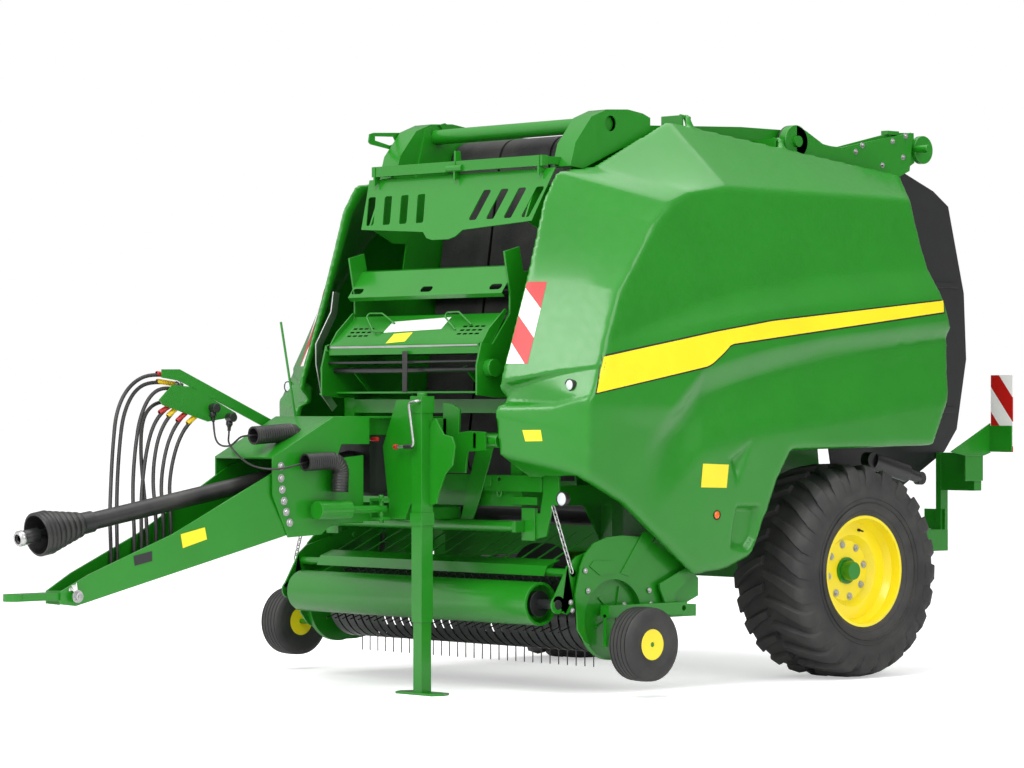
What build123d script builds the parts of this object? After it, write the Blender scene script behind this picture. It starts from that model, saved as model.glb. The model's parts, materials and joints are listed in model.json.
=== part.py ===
from build123d import *
import os
from math import atan2, cos, degrees, hypot, pi, radians, sin, sqrt

# Round baler with a variable chamber, drawn on its own axle: X runs to the machine's left,
# -Y forward along the drawbar and Z up, with the ground at Z = 0 and the axle above Y = 0.
# The written pieces are moved by AXLE_Y, so that the origin is under the middle of the machine.
# All sizes are millimetres. Pieces of the left side are mirrored to the right.

# ---------------------------------------------------------------- driving dimensions
DRAWBAR_REACH = 4605.0      # axle to the tip of the tow eye
TAILGATE_REACH = 1535.0     # axle to the rearmost edge of the tailgate
AXLE_Y = (DRAWBAR_REACH - TAILGATE_REACH) / 2

RUN = 0.3                   # gap between a pin or shaft and what turns on it
CLEAR = 6.0                 # least gap between bodies that move past each other
SKIN = 12.0                 # side plates of the chamber and tailgate
PLATE = 10.0                # brackets and cheeks

# main wheels
WHEEL_D = 1130.0
TYRE_W = 500.0
TRACK = 2040.0              # between the middles of the two tyres
RIM_BEAD_D = 571.0
RIM_FLANGE_D = 610.0
HUB_D = 200.0
STUB_D = 90.0
AXLE_Z = WHEEL_D / 2
AXLE_BEAM = 120.0

# bale chamber
CHAMBER_HALF = 600.0        # half of the inside width
SILL_TOP = 745.0
SILL_H = 120.0
SILL_W = 80.0
HINGE_Y, HINGE_Z = 50.0, 2860.0
HINGE_PIN_D = 60.0

# side panels
PANEL_WALL = 30.0
PANEL_INNER_X = 775.0
PANEL_OUTER_X = 1240.0
PANEL_HINGE_X = 752.0
PANEL_HINGE_Y, PANEL_HINGE_Z = -945.0, 2950.0       # a point on the hinge line
PANEL_HINGE_FALL = 0.124    # the hinge line falls this much to the rear, along the roof edge
PANEL_HINGES = (-850.0, -150.0)
PANEL_PIN_D = 20.0

# net wrap cover
NET_HINGE_Y, NET_HINGE_Z = -2145.0, 1740.0

# pickup
PICKUP_PIVOT_Y, PICKUP_PIVOT_Z = -1180.0, 520.0
PICKUP_PIVOT_D = 90.0
PICKUP_HALF = 1075.0        # to the inner face of its side plates
REEL_Y, REEL_Z = -1660.0, 385.0
REEL_HALF = 965.0
BAND_R = 185.0
TINE_R = 262.0
BANDS = 30
BAND_GAP = 14.0
TINE_D = 6.0
TINE_BARS = 5
WINDGUARD_Y, WINDGUARD_Z = -1600.0, 735.0
ROLLER_Y, ROLLER_Z = -2050.0, 455.0
ROLLER_D = 216.0
ROLLER_HALF = 930.0
GAUGE_D = 368.0
GAUGE_W = 155.0
GAUGE_X = 1360.0
GAUGE_Y, GAUGE_Z = -1760.0, 264.0
ROTOR_D = 380.0
REEL_SHAFT_D = 60.0
BAND_TAIL_Y = -1420.0       # where the bands meet the pickup's cross tubes

# jack
JACK_X, JACK_Y = 460.0, -2420.0
JACK_TUBE = 76.0
JACK_WALL = 6.0
JACK_LEG = JACK_TUBE - 2 * JACK_WALL - 2 * RUN

# drawbar and drive shaft
DRAWBAR_HALF = 220.0        # half width at the headstock
DRAWBAR_TIP_HALF = 62.0
EYE_BORE_D = 50.0
EYE_CENTRE_Y, EYE_Z0 = -4555.0, 520.0
YOKE_BORE_D = 34.9          # 1 3/8 inch spline
PTO_TUBE_D = 74.0
PTO_FRONT_Y, PTO_FRONT_Z = -4520.0, 812.0
PTO_REAR_Y, PTO_REAR_Z = -2520.0, 1165.0
PTO_INNER_D = 44.0

# tailgate cylinders
CYL_X = 722.0
CYL_D = 76.0
ROD_D = 40.0
EYE_PIN_D = 36.0
BARREL_Y, BARREL_Z = -513.7, 1373.9
EYE_Y, EYE_Z = 227.9, 2694.9

NODES = {}


# ---------------------------------------------------------------- small helpers
def block(x, y, z):
    """Box between three spans."""
    size = (x[1] - x[0], y[1] - y[0], z[1] - z[0])
    middle = ((x[0] + x[1]) / 2, (y[0] + y[1]) / 2, (z[0] + z[1]) / 2)
    return Pos(*middle) * Box(*size)


def cheek(points, x0, x1):
    """Plate seen from the side: points are (Y, Z) and its thickness runs from x0 to x1."""
    face = make_face(Polyline(*points, close=True))
    return extrude(Plane.YZ.offset(x0) * face, x1 - x0)


def front_plate(points, y0, y1):
    """Plate seen from the front: points are (X, Z) and its thickness runs from y0 to y1."""
    face = make_face(Polyline(*points, close=True))
    return extrude(Plane.XZ.offset(-y1) * face, y1 - y0)


def flat_plate(points, z0, z1):
    """Plate seen from above: points are (X, Y)."""
    face = make_face(Polyline(*points, close=True))
    return extrude(Plane.XY.offset(z0) * face, z1 - z0)


def rod(start, end, diameter):
    """Round bar between two points."""
    a, b = Vector(*start), Vector(*end)
    place = Plane(origin=a, z_dir=b - a)
    return place * Cylinder(diameter / 2, (b - a).length,
                            align=(Align.CENTER, Align.CENTER, Align.MIN))


def tube(start, end, diameter, wall):
    return rod(start, end, diameter) - rod(start, end, diameter - 2 * wall)


def beam(start, end, width, height, up=(0, 0, 1)):
    """Rectangular bar between two points, its height towards up."""
    a, b = Vector(*start), Vector(*end)
    along = (b - a).normalized()
    across = Vector(*up).cross(along).normalized()
    place = Plane(origin=a, x_dir=across, z_dir=along)
    return place * Box(width, height, (b - a).length,
                       align=(Align.CENTER, Align.CENTER, Align.MIN))


def disc(y, z, diameter, x0, x1):
    """Round plate or pin with its axis along X."""
    return rod((x0, y, z), (x1, y, z), diameter)


def turned(profile, x, y, z):
    """Turn a closed (X, R) profile about the X axis through (x, y, z)."""
    face = make_face(Polyline(*profile, close=True))
    return Pos(x, y, z) * revolve(face, Axis.X)


def both(solid):
    return mirror(solid, Plane.YZ)


def pair(name, solid):
    """The left piece and its mirror image on the right, as two nodes."""
    NODES["left_" + name] = solid
    NODES["right_" + name] = both(solid)


def symmetric(solid):
    return solid + both(solid)


# ---------------------------------------------------------------- main wheels and axle
def main_wheels():
    x = TRACK / 2
    half, outer, bead = TYRE_W / 2, WHEEL_D / 2, RIM_BEAD_D / 2
    shoulder = 62.0
    # tyre section, (X, R)
    seat = half * 0.80
    flange = RIM_FLANGE_D / 2
    section = Polyline((-seat, flange), (-seat, bead), (seat, bead), (seat, flange),
                       (half, bead + 100), (half, outer - shoulder))
    crown = ThreePointArc((half, outer - shoulder), (half - shoulder * 0.35, outer - shoulder * 0.30),
                          (half - shoulder, outer - 8))
    tread = ThreePointArc((half - shoulder, outer - 8), (0, outer), (-half + shoulder, outer - 8))
    crown_in = ThreePointArc((-half + shoulder, outer - 8),
                             (-half + shoulder * 0.35, outer - shoulder * 0.30),
                             (-half, outer - shoulder))
    inner = Polyline((-half, outer - shoulder), (-half, bead + 100), (-seat, flange))
    tyre = Pos(x, 0, AXLE_Z) * revolve(make_face([section, crown, tread, crown_in, inner]), Axis.X)
    pair("tyre", tyre)

    wall = 8.0
    disc_x = seat - 125                 # the dish lies this far inside the outer flange
    # rim shell: flange, bead seat, drop centre, bead seat, flange, and back along the inside
    rim = turned([(-seat - wall, flange), (-seat, flange), (-seat, bead), (-seat + 50, bead),
                  (-40, bead - 55), (40, bead - 55), (seat - 50, bead), (seat, bead), (seat, flange),
                  (seat + wall, flange), (seat + wall, bead - wall), (seat - 50, bead - wall),
                  (40 + wall, bead - 55 - wall), (-40 - wall, bead - 55 - wall),
                  (-seat + 50, bead - wall), (-seat - wall, bead - wall)], x, 0, AXLE_Z)
    dish = turned([(disc_x - 14, HUB_D / 2 - 30), (disc_x, HUB_D / 2 - 30), (disc_x, HUB_D / 2 + 60),
                   (disc_x + 38, bead - 96), (disc_x + 38, bead - wall), (disc_x + 24, bead - wall),
                   (disc_x + 24, bead - 88), (disc_x - 14, HUB_D / 2 + 68)], x, 0, AXLE_Z)
    bore = HUB_D / 2 - 30
    pair("rim", rim + dish)

    hub = turned([(-60, STUB_D / 2 + RUN), (disc_x + 30, STUB_D / 2 + RUN), (disc_x + 30, 0),
                  (disc_x + 62, 0), (disc_x + 62, 46), (disc_x + 44, 52), (disc_x + 12, 56),
                  (disc_x + 12, bore), (disc_x - 14, bore), (disc_x - 14, HUB_D / 2 + 8),
                  (disc_x - 30, HUB_D / 2 + 8), (disc_x - 30, bore), (-60, bore)], x, 0, AXLE_Z)
    pair("hub", hub)
    stub_end = x + disc_x + 30 - CLEAR
    axle = block((-SILL_OUT, SILL_OUT), (-AXLE_BEAM / 2, AXLE_BEAM / 2),
                 (AXLE_Z - AXLE_BEAM / 2, AXLE_Z + AXLE_BEAM / 2))
    stub = disc(0, AXLE_Z, STUB_D, SILL_OUT, stub_end) + disc(0, AXLE_Z, 150, SILL_OUT, x - 60 - CLEAR)
    NODES["axle"] = axle + symmetric(stub)


SILL_IN = CHAMBER_HALF + SKIN
SILL_OUT = SILL_IN + SILL_W


# ---------------------------------------------------------------- main frame
FRONT_Y = -1960.0           # front face of the front beams
FRONT_BEAM_Z = 930.0
REAR_Y = 1290.0             # end of the sills and the lamp brackets
TOP_TUBE_Y, TOP_TUBE_Z, TOP_TUBE_D = -1390.0, 2905.0, 90.0


def main_frame():
    sill = block((SILL_IN, SILL_OUT), (-1330, REAR_Y), (SILL_TOP - SILL_H, SILL_TOP))
    # over the pickup the frame rises to a pair of front beams
    front = block((SILL_IN, SILL_OUT), (FRONT_Y, -1000), (FRONT_BEAM_Z, FRONT_BEAM_Z + 100))
    post = block((SILL_IN, SILL_OUT), (FRONT_Y, FRONT_Y + 80), (FRONT_BEAM_Z + 100, 1500))
    cross = block((-SILL_IN, SILL_IN), (FRONT_Y, FRONT_Y + 80), (FRONT_BEAM_Z, FRONT_BEAM_Z + 100))
    upper = block((-SILL_IN, SILL_IN), (FRONT_Y, FRONT_Y + 80), (1400, 1470))
    riser = block((SILL_IN, SILL_OUT), (-1330, -1250), (SILL_TOP, FRONT_BEAM_Z))
    rear = block((-SILL_IN, SILL_IN), (500, 580), (SILL_TOP - SILL_H, SILL_TOP - 20))
    NODES["main_frame"] = symmetric(sill + riser + front + post) + cross + upper + rear


def front_members():
    """Cross tube, drilled flat bars and end plates ahead of the main frame."""
    y = FRONT_Y
    end = block((770, 868), (y - 12, y), (770, 930)) + block((858, 940), (y - 12, y), (790, 1030))
    bar = block((SILL_OUT - 60, 862), (y - 24, y - 12), (950, 1020))
    foot = block((SILL_OUT - 60, SILL_OUT), (y - 12, y), (950, 980))
    NODES["front_members"] = symmetric(bar + end + foot) + tube((-770, y - 40, 830), (770, y - 40, 830), 60, 5) \
        + symmetric(block((770, 800), (y - 70, y - 12), (800, 860)))


def chamber():
    # (Y, Z) outline of the fixed half of the bale chamber
    outline = [(-1330, SILL_TOP), (-1500, 1000), (-1560, 1500), (-1640, 2080), (-1560, 2560),
               (-1470, 2920), (-1330, 2960), (-1180, 2890), (-300, 2925), (HINGE_Y + 40, 2925),
               (HINGE_Y + 60, 2800), (200, 2300), (280, 1400), (360, SILL_TOP)]
    side = cheek(outline, CHAMBER_HALF, CHAMBER_HALF + SKIN) \
        - disc(TOP_TUBE_Y, TOP_TUBE_Z, TOP_TUBE_D, CHAMBER_HALF - 1, SILL_OUT)
    foot = block((CHAMBER_HALF, SILL_IN), (-1330, 360), (SILL_TOP - SILL_H, SILL_TOP))
    pin = disc(HINGE_Y, HINGE_Z, HINGE_PIN_D, CHAMBER_HALF + SKIN, 712)
    lug = disc(BARREL_Y, BARREL_Z, 120, CHAMBER_HALF + SKIN, CYL_X - CYL_D / 2 - RUN) \
        + disc(BARREL_Y, BARREL_Z, EYE_PIN_D, CYL_X - CYL_D / 2 - 5, CYL_X + CYL_D / 2)
    pair("chamber_side", side + foot + pin + lug)
    # rollers, (Y, Z, diameter)
    rolls = [(-1180, 2740, 220), (-1480, 2080, 120), (-1400, 1180, 250), (-1150, 900, 180)]
    solid = None
    for y, z, d in rolls:
        piece = disc(y, z, d, -CHAMBER_HALF, CHAMBER_HALF)
        solid = piece if solid is None else solid + piece
    NODES["front_rollers"] = solid
    NODES["front_belts"] = belts([(-1180, 2740, 220), (-1400, 1180, 250)], 3)


def belts(rolls, count):
    """Flat belts round two rollers, (Y, Z, diameter), side by side."""
    (y0, z0, d0), (y1, z1, d1) = rolls
    thick = 8.0
    gap = 20.0
    outer, inner = [], []
    hull_out = make_hull((Pos(y0, z0) * Circle(d0 / 2 + thick + RUN)).edges()
                         + (Pos(y1, z1) * Circle(d1 / 2 + thick + RUN)).edges())
    hull_in = make_hull((Pos(y0, z0) * Circle(d0 / 2 + RUN)).edges()
                        + (Pos(y1, z1) * Circle(d1 / 2 + RUN)).edges())
    loop = hull_out - hull_in
    width = (2 * CHAMBER_HALF - gap * (count + 1)) / count
    solid = None
    for i in range(count):
        x = -CHAMBER_HALF + gap + i * (width + gap)
        piece = extrude(Plane.YZ.offset(x) * loop, width)
        solid = piece if solid is None else solid + piece
    return solid


# ---------------------------------------------------------------- drawbar
def drawbar():
    # plan outline of the tapering fork, (X, Y)
    rear, shoulder, tip = -2600.0, -3120.0, -4330.0
    outer = [(DRAWBAR_TIP_HALF, tip), (DRAWBAR_HALF, shoulder), (DRAWBAR_HALF, rear),
             (-DRAWBAR_HALF, rear), (-DRAWBAR_HALF, shoulder), (-DRAWBAR_TIP_HALF, tip)]
    t = SKIN
    inner = [(DRAWBAR_TIP_HALF - t, tip - 1), (DRAWBAR_HALF - t, shoulder), (DRAWBAR_HALF - t, rear + 1),
             (-DRAWBAR_HALF + t, rear + 1), (-DRAWBAR_HALF + t, shoulder), (-DRAWBAR_TIP_HALF + t, tip - 1)]
    walls = flat_plate(outer, 400, 1500) - flat_plate(inner, 400, 1500)
    side = [(-4330, 500), (-4250, 490), (-3075, 806), (-2880, 850), (-2600, 850), (-2600, 1190),
            (-3100, 1145), (-3733, 817), (-4176, 639), (-4330, 560)]
    fork = walls & cheek(side, -400, 400)
    floor_side = [(-4200, 500), (-3075, 806), (-2700, 850), (-2700, 862), (-3078, 818), (-4200, 512)]
    floor = flat_plate(inner, 400, 1500) & cheek(floor_side, -400, 400)
    pin = disc(-4260, 537, 30, -100, 100)
    NODES["drawbar"] = fork + floor + pin
    head = [(-3187, 1000), (-3187, 1185), (-2850, 1383), (-2583, 1383), (-2450, 1150), (-2450, 850),
            (-2880, 800), (-3090, 800)]
    plate = cheek(head, DRAWBAR_HALF, DRAWBAR_HALF + PLATE)
    rail = block((DRAWBAR_HALF, DRAWBAR_HALF + PLATE), (-2450, FRONT_Y), (860, 1100))
    cap = block((-DRAWBAR_HALF, DRAWBAR_HALF), (-2600, -2588), (860, 1060))
    NODES["headstock"] = symmetric(plate + rail) + cap
    tongue = flat_plate([(-45, -4560), (45, -4560), (50, -4330), (50, -4205), (-50, -4205), (-50, -4330)],
                        0, 34) + block((-50, 50), (-4330, -4205), (-8, 42))
    ring = Pos(0, EYE_CENTRE_Y, 0) * Cylinder(50, 34, align=(Align.CENTER, Align.CENTER, Align.MIN))
    hole = Pos(0, EYE_CENTRE_Y, -1) * Cylinder(EYE_BORE_D / 2, 40, align=(Align.CENTER, Align.CENTER, Align.MIN))
    eye = Pos(0, 0, EYE_Z0) * (tongue + ring - hole) - disc(-4260, 537, 30 + 2 * RUN, -60, 60)
    NODES["tow_eye"] = eye


def drive_line():
    front = Vector(0, PTO_FRONT_Y, PTO_FRONT_Z)
    rear = Vector(0, PTO_REAR_Y, PTO_REAR_Z)
    along = (rear - front).normalized()

    def at(s):
        return tuple(front + along * s)

    length = (rear - front).length
    guard = tube(at(330), at(length + 18), PTO_TUBE_D, 4) + tube(at(110), at(330), 150, 4)
    for s in (330, 900, length - 60):
        ring = rod(at(s), at(s + 12), PTO_TUBE_D - 2) - rod(at(s - 1), at(s + 13), PTO_INNER_D + 2 * RUN)
        guard += ring
    guard += rod(at(318), at(330), 150) - rod(at(317), at(331), PTO_INNER_D + 2 * RUN)
    case = block((-150, 150), (-2500, -2160), (1000, 1330))
    NODES["pto_guard"] = guard - case
    yoke = rod(at(0), at(100), 70) + rod(at(100), at(length - 20), PTO_INNER_D) \
        - rod(at(-1), at(60), YOKE_BORE_D)
    NODES["pto_shaft"] = yoke
    NODES["gearbox"] = case + block((-DRAWBAR_HALF, DRAWBAR_HALF), (-2400, -2200), (980, 1000))


# ---------------------------------------------------------------- jack
def jack():
    outer = block((JACK_X - JACK_TUBE / 2, JACK_X + JACK_TUBE / 2),
                  (JACK_Y - JACK_TUBE / 2, JACK_Y + JACK_TUBE / 2), (360, 1480))
    hole = JACK_TUBE / 2 - JACK_WALL
    bore = block((JACK_X - hole, JACK_X + hole), (JACK_Y - hole, JACK_Y + hole), (350, 1460))
    arm = block((DRAWBAR_HALF + PLATE, JACK_X - JACK_TUBE / 2), (JACK_Y - 6, JACK_Y + 6), (900, 1480))
    NODES["jack_housing"] = outer - bore + arm
    half = JACK_LEG / 2
    leg = block((JACK_X - half, JACK_X + half), (JACK_Y - half, JACK_Y + half), (12, 900))
    foot = flat_plate([(JACK_X - 135, JACK_Y - 60), (JACK_X + 135, JACK_Y - 60), (JACK_X + 165, JACK_Y),
                       (JACK_X + 135, JACK_Y + 60), (JACK_X - 135, JACK_Y + 60), (JACK_X - 165, JACK_Y)], 0, 12)
    NODES["jack_leg"] = leg + foot


# ---------------------------------------------------------------- pickup
def pickup():
    inner, outer = PICKUP_HALF, PICKUP_HALF + PLATE
    # arched end plate, (Y, Z)
    outline = [(-1960, 420), (-1990, 520), (-1927, 673), (-1850, 760), (-1663, 789),
               (-1476, 775), (-1204, 640), (-1100, 560), (-1100, 470), (-1286, 400), (-1380, 250),
               (-1380, 195), (-1660, 190), (-1783, 222)]
    plate = cheek(outline, inner, outer) \
        - disc(PICKUP_PIVOT_Y, PICKUP_PIVOT_Z, PICKUP_PIVOT_D + 2 * RUN, inner - 1, outer + 1) \
        - disc(REEL_Y, REEL_Z, REEL_SHAFT_D + 2 * RUN, inner - 1, outer + 1)
    back = block((-inner, inner), (BAND_TAIL_Y - 5, BAND_TAIL_Y + 30), (REEL_Z + BAND_R - 44, REEL_Z + BAND_R - 4)) \
        + block((-inner, inner), (BAND_TAIL_Y - 5, BAND_TAIL_Y + 30), (REEL_Z - BAND_R + 4, REEL_Z - BAND_R + 44))
    arm = block((outer, outer + 60), (-1790, -1230), (385, 445))
    axle = disc(GAUGE_Y, GAUGE_Z, 25, outer + 30, GAUGE_X + 60)
    drop = block((outer + 20, outer + 40), (-1790, -1730), (240, 400))
    pin = disc(WINDGUARD_Y, WINDGUARD_Z, 30, inner - 40, inner)
    NODES["pickup_frame"] = symmetric(plate + arm + axle + drop + pin)

    pitch = 2 * REEL_HALF / BANDS
    width = pitch - BAND_GAP
    # a band is a U of sheet round the reel, its two legs running back to the cross tubes
    hoop = Circle(BAND_R) - Circle(BAND_R - 4) - Pos(BAND_R, 0) * Rectangle(2 * BAND_R, 2 * BAND_R)
    leg = BAND_TAIL_Y + 30 - REEL_Y
    for side in (-1, 1):
        hoop += Pos(leg / 2, side * (BAND_R - 2)) * Rectangle(leg, 4)
    solid = None
    for i in range(BANDS):
        x = -REEL_HALF + i * pitch + BAND_GAP / 2
        piece = extrude(Plane.YZ.offset(x) * (Pos(REEL_Y, REEL_Z) * hoop), width)
        solid = piece if solid is None else solid + piece
    NODES["pickup_bands"] = solid + back

    reel = disc(REEL_Y, REEL_Z, REEL_SHAFT_D, -PICKUP_HALF - PLATE, PICKUP_HALF + PLATE)
    for x in (-REEL_HALF, -4, REEL_HALF - 8):
        reel += disc(REEL_Y, REEL_Z, 290, x, x + 8)
    for k in range(TINE_BARS):
        angle = 2 * pi * k / TINE_BARS - pi / 2
        y, z = REEL_Y + 130 * cos(angle), REEL_Z + 130 * sin(angle)
        reel += disc(y, z, 28, -REEL_HALF, REEL_HALF)
        for i in range(BANDS - 1):
            x = -REEL_HALF + (i + 1) * pitch
            tip = (x, REEL_Y + TINE_R * cos(angle), REEL_Z + TINE_R * sin(angle))
            reel += rod((x, y, z), tip, TINE_D)
    NODES["pickup_reel"] = reel

    arm_x = inner - 30
    guard = disc(-1950, 640, 42, -arm_x, arm_x)
    link = cheek([(-1985, 640), (-1930, 680), (-1620, 770), (-1570, 760), (-1570, 700), (-1700, 660),
                  (-1960, 520), (-2010, 410), (-2090, 410), (-2100, 500)], arm_x, arm_x + PLATE) \
        - disc(WINDGUARD_Y, WINDGUARD_Z, 30 + 2 * RUN, arm_x - 1, arm_x + PLATE + 1) \
        - disc(ROLLER_Y, ROLLER_Z, 50 + 2 * RUN, arm_x - 1, arm_x + PLATE + 1)
    NODES["windguard"] = guard + symmetric(link)
    NODES["press_roller"] = disc(ROLLER_Y, ROLLER_Z, ROLLER_D, -ROLLER_HALF, ROLLER_HALF) \
        + disc(ROLLER_Y, ROLLER_Z, 50, -arm_x - PLATE, arm_x + PLATE)


def gauge_wheels():
    half, outer = GAUGE_W / 2, GAUGE_D / 2
    tyre = turned([(-half * 0.8, 76), (half * 0.8, 76), (half, 110), (half, outer - 40),
                   (half - 30, outer - 6), (0, outer), (-half + 30, outer - 6), (-half, outer - 40),
                   (-half, 110)], GAUGE_X, GAUGE_Y, GAUGE_Z)
    rim = turned([(-half * 0.8, 12.5 + RUN), (half * 0.8, 12.5 + RUN), (half * 0.8, 76),
                  (-half * 0.8, 76)], GAUGE_X, GAUGE_Y, GAUGE_Z)
    pair("gauge_tyre", tyre)
    pair("gauge_rim", rim)


def feed_rotor():
    x = SILL_IN - CLEAR
    NODES["feed_rotor"] = disc(PICKUP_PIVOT_Y, PICKUP_PIVOT_Z, 150, -x, x) \
        + disc(PICKUP_PIVOT_Y, PICKUP_PIVOT_Z, ROTOR_D, -40, 40) \
        + disc(PICKUP_PIVOT_Y, PICKUP_PIVOT_Z, 70, -x - CLEAR - 15, x + CLEAR + 15)
    bracket = cheek([(-1300, SILL_TOP - SILL_H), (-1060, SILL_TOP - SILL_H), (-1080, 440), (-1280, 440)],
                    SILL_IN, SILL_IN + 20) \
        - disc(PICKUP_PIVOT_Y, PICKUP_PIVOT_Z, 70 + 2 * RUN, SILL_IN - 1, SILL_IN + 16)
    pivot = disc(PICKUP_PIVOT_Y, PICKUP_PIVOT_Z, PICKUP_PIVOT_D, SILL_IN + 20, PICKUP_HALF + PLATE)
    NODES["pickup_pivots"] = symmetric(bracket + pivot)


# ---------------------------------------------------------------- side panels
# Outline of the panel, front bottom corner first and then up and over to the rear. Each row has
# the edge next to the chamber as (Y, Z), and the crease against the side face as (X, Y, Z).
PANEL_OUTLINE = [
    ((-2200, 1192), (1212, -1980, 1095)),       # chin
    ((-2230, 1400), (1210, -1986, 1300)),
    ((-2187, 1590), (1212, -1990, 1469)),       # foot of the front face
    ((-2029, 2058), (1160, -1722, 2011)),
    ((-1907, 2485), (1120, -1461, 2346)),
    ((-1820, 2621), (1110, -1322, 2464)),       # front of the roof
    ((-1566, 2657), (1105, -1181, 2526)),
    ((-1030, 2922), (1102, -920, 2558)),        # highest point
    ((797, 2711), (1100, 508, 2555)),           # rear of the roof
    ((660, 2212), (1140, 606, 2212)),
    ((729, 1847), (1200, 729, 1847)),
    ((688, 1468), (1210, 688, 1468)),
    ((564, 1224), (1210, 564, 1224)),           # over the wheel
    ((-545, 1206), (1210, -545, 1206)),
    ((-619, 1100), (1205, -619, 1100)),
    ((-765, 762), (1190, -765, 762)),
    ((-819, 663), (1185, -819, 663)),
    ((-981, 605), (1180, -981, 605)),           # lowest part
    ((-1220, 581), (1180, -1220, 581)),
    ((-1728, 952), (1200, -1728, 952)),
    ((-1984, 1070), (1210, -1984, 1070)),
]
# Sections of the side face. Columns: y, then the heights of flare top, crest top, crest foot,
# groove and wheel bulge, then how far the crest and the bulge stand out and the groove's depth.
PANEL_SECTIONS = [
    (-2300, 1640, 1600, 1440, 1380, 1320, 0, 0, 0),
    (-1900, 1720, 1690, 1500, 1430, 1360, 2, 2, 0),
    (-1350, 1905, 1825, 1560, 1420, 1300, 28, 10, 2),
    (-900, 2022, 1893, 1700, 1590, 1440, 42, 40, 16),
    (-250, 2117, 1953, 1790, 1735, 1640, 46, 44, 24),
    (900, 2200, 2050, 1865, 1820, 1780, 46, 44, 26),
]


def inset(points, distance):
    """Closed outline with every edge moved inwards by a distance (points run clockwise)."""
    lines = []
    for (y0, z0), (y1, z1) in zip(points, points[1:] + points[:1]):
        length = hypot(y1 - y0, z1 - z0)
        ny, nz = (z1 - z0) / length, -(y1 - y0) / length
        lines.append((ny, nz, ny * y0 + nz * z0 + distance))
    moved = []
    for (a0, b0, c0), (a1, b1, c1) in zip(lines[-1:] + lines[:-1], lines):
        det = a0 * b1 - a1 * b0
        moved.append(((c0 * b1 - c1 * b0) / det, (a0 * c1 - a1 * c0) / det))
    return moved


def side_x(z):
    """How far out the plain side face is at a height."""
    if z > 1475:
        return 1212 - 0.10 * (z - 1475)
    return 1212 - 0.035 * (1475 - z)


def panel_form(wall):
    """Outer form of the left side panel, or with a wall the form of its hollow."""
    inner_x = PANEL_INNER_X - wall
    inner, outer = [], []
    for (y0, z0), (x1, y1, z1) in PANEL_OUTLINE:
        inner.append((y0, z0))
        reach = (PANEL_OUTER_X - PANEL_INNER_X) / (x1 - PANEL_INNER_X)
        outer.append((y0 + (y1 - y0) * reach, z0 + (z1 - z0) * reach))
    if wall:
        inner, outer = inset(inner, wall), inset(outer, wall)
    near = Plane.YZ.offset(inner_x) * make_face(Polyline(*inner, close=True))
    far = Plane.YZ.offset(PANEL_OUTER_X) * make_face(Polyline(*outer, close=True))
    body = loft([near, far], ruled=True)
    faces = []
    for y, flare, crest, foot, groove, bulge, stand, swell, depth in PANEL_SECTIONS:
        profile = [(500, side_x(500)), (1100, side_x(1100) + swell / 2), (bulge, side_x(bulge) + swell),
                   (groove, side_x(groove) + stand - depth), (foot, side_x(foot) + stand),
                   (crest, side_x(crest) + stand), (flare, side_x(flare)), (3000, side_x(3000))]
        points = [(inner_x - 1, 500)] + [(x - wall, z) for z, x in profile] + [(inner_x - 1, 3000)]
        faces.append(Plane.XZ.offset(-y) * make_face(Polyline(*points, close=True)))
    return body & loft(faces, ruled=True)


def side_panels():
    panel = panel_form(0) - panel_form(PANEL_WALL) \
        - block((PANEL_INNER_X - 1, 1140), (-1984, -560), (500, 1150))
    slope = Vector(0, 1, -PANEL_HINGE_FALL).normalized()
    brackets = None
    for y in PANEL_HINGES:
        z = PANEL_HINGE_Z - PANEL_HINGE_FALL * (y - PANEL_HINGE_Y)
        middle = Vector(PANEL_HINGE_X, y, z)
        pin = rod(tuple(middle - slope * 45), tuple(middle + slope * 25), PANEL_PIN_D)
        bracket = block((SILL_IN, PANEL_HINGE_X + 12), (y - 45, y - 33), (z - 60, z + 10)) + pin
        brackets = bracket if brackets is None else brackets + bracket
        knuckle = rod(tuple(middle - slope * 25), tuple(middle + slope * 25), 2 * PANEL_PIN_D)
        strap = block((PANEL_HINGE_X, PANEL_INNER_X + 10), (y - 20, y + 20), (z - 45, z - 12))
        panel += knuckle + strap
        panel -= rod(tuple(middle - slope * 26), tuple(middle + slope * 26), PANEL_PIN_D + 2 * RUN)
    pair("side_panel", panel)
    NODES["panel_hinges"] = symmetric(brackets)


# ---------------------------------------------------------------- tailgate
def tailgate():
    x0 = CHAMBER_HALF + SKIN + 24
    outline = [(HINGE_Y + 20, 2790), (954, 2739), (1218, 2640), (1346, 2558), (1480, 2072), (1500, 1700),
               (1418, 1304), (1312, 1180), (900, 960), (520, 860), (400, 1000), (320, 1400), (240, 2300)]
    side = cheek(outline, x0, x0 + SKIN)
    arm_outline = [(HINGE_Y - 62, 2860), (HINGE_Y, 2922), (300, 2900), (1052, 2890), (1052, 2800),
                   (900, 2700), (HINGE_Y, 2798)]
    arm = cheek(arm_outline, x0 + SKIN, 700) \
        - disc(HINGE_Y, HINGE_Z, HINGE_PIN_D + 2 * RUN, x0, 712)
    plate = side - disc(HINGE_Y, HINGE_Z, 160, x0 - 1, x0 + SKIN)
    lug = disc(EYE_Y, EYE_Z, 90, x0 + SKIN, CYL_X - 20 - RUN)
    pair("tailgate_side", plate + arm + lug)
    back = cheek([(1290, 2560), (1360, 2560), (1490, 2060), (1500, 1700), (1425, 1310), (1365, 1310),
                  (1440, 1700), (1430, 2060)], -x0, x0)
    NODES["tailgate_back"] = back


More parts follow.
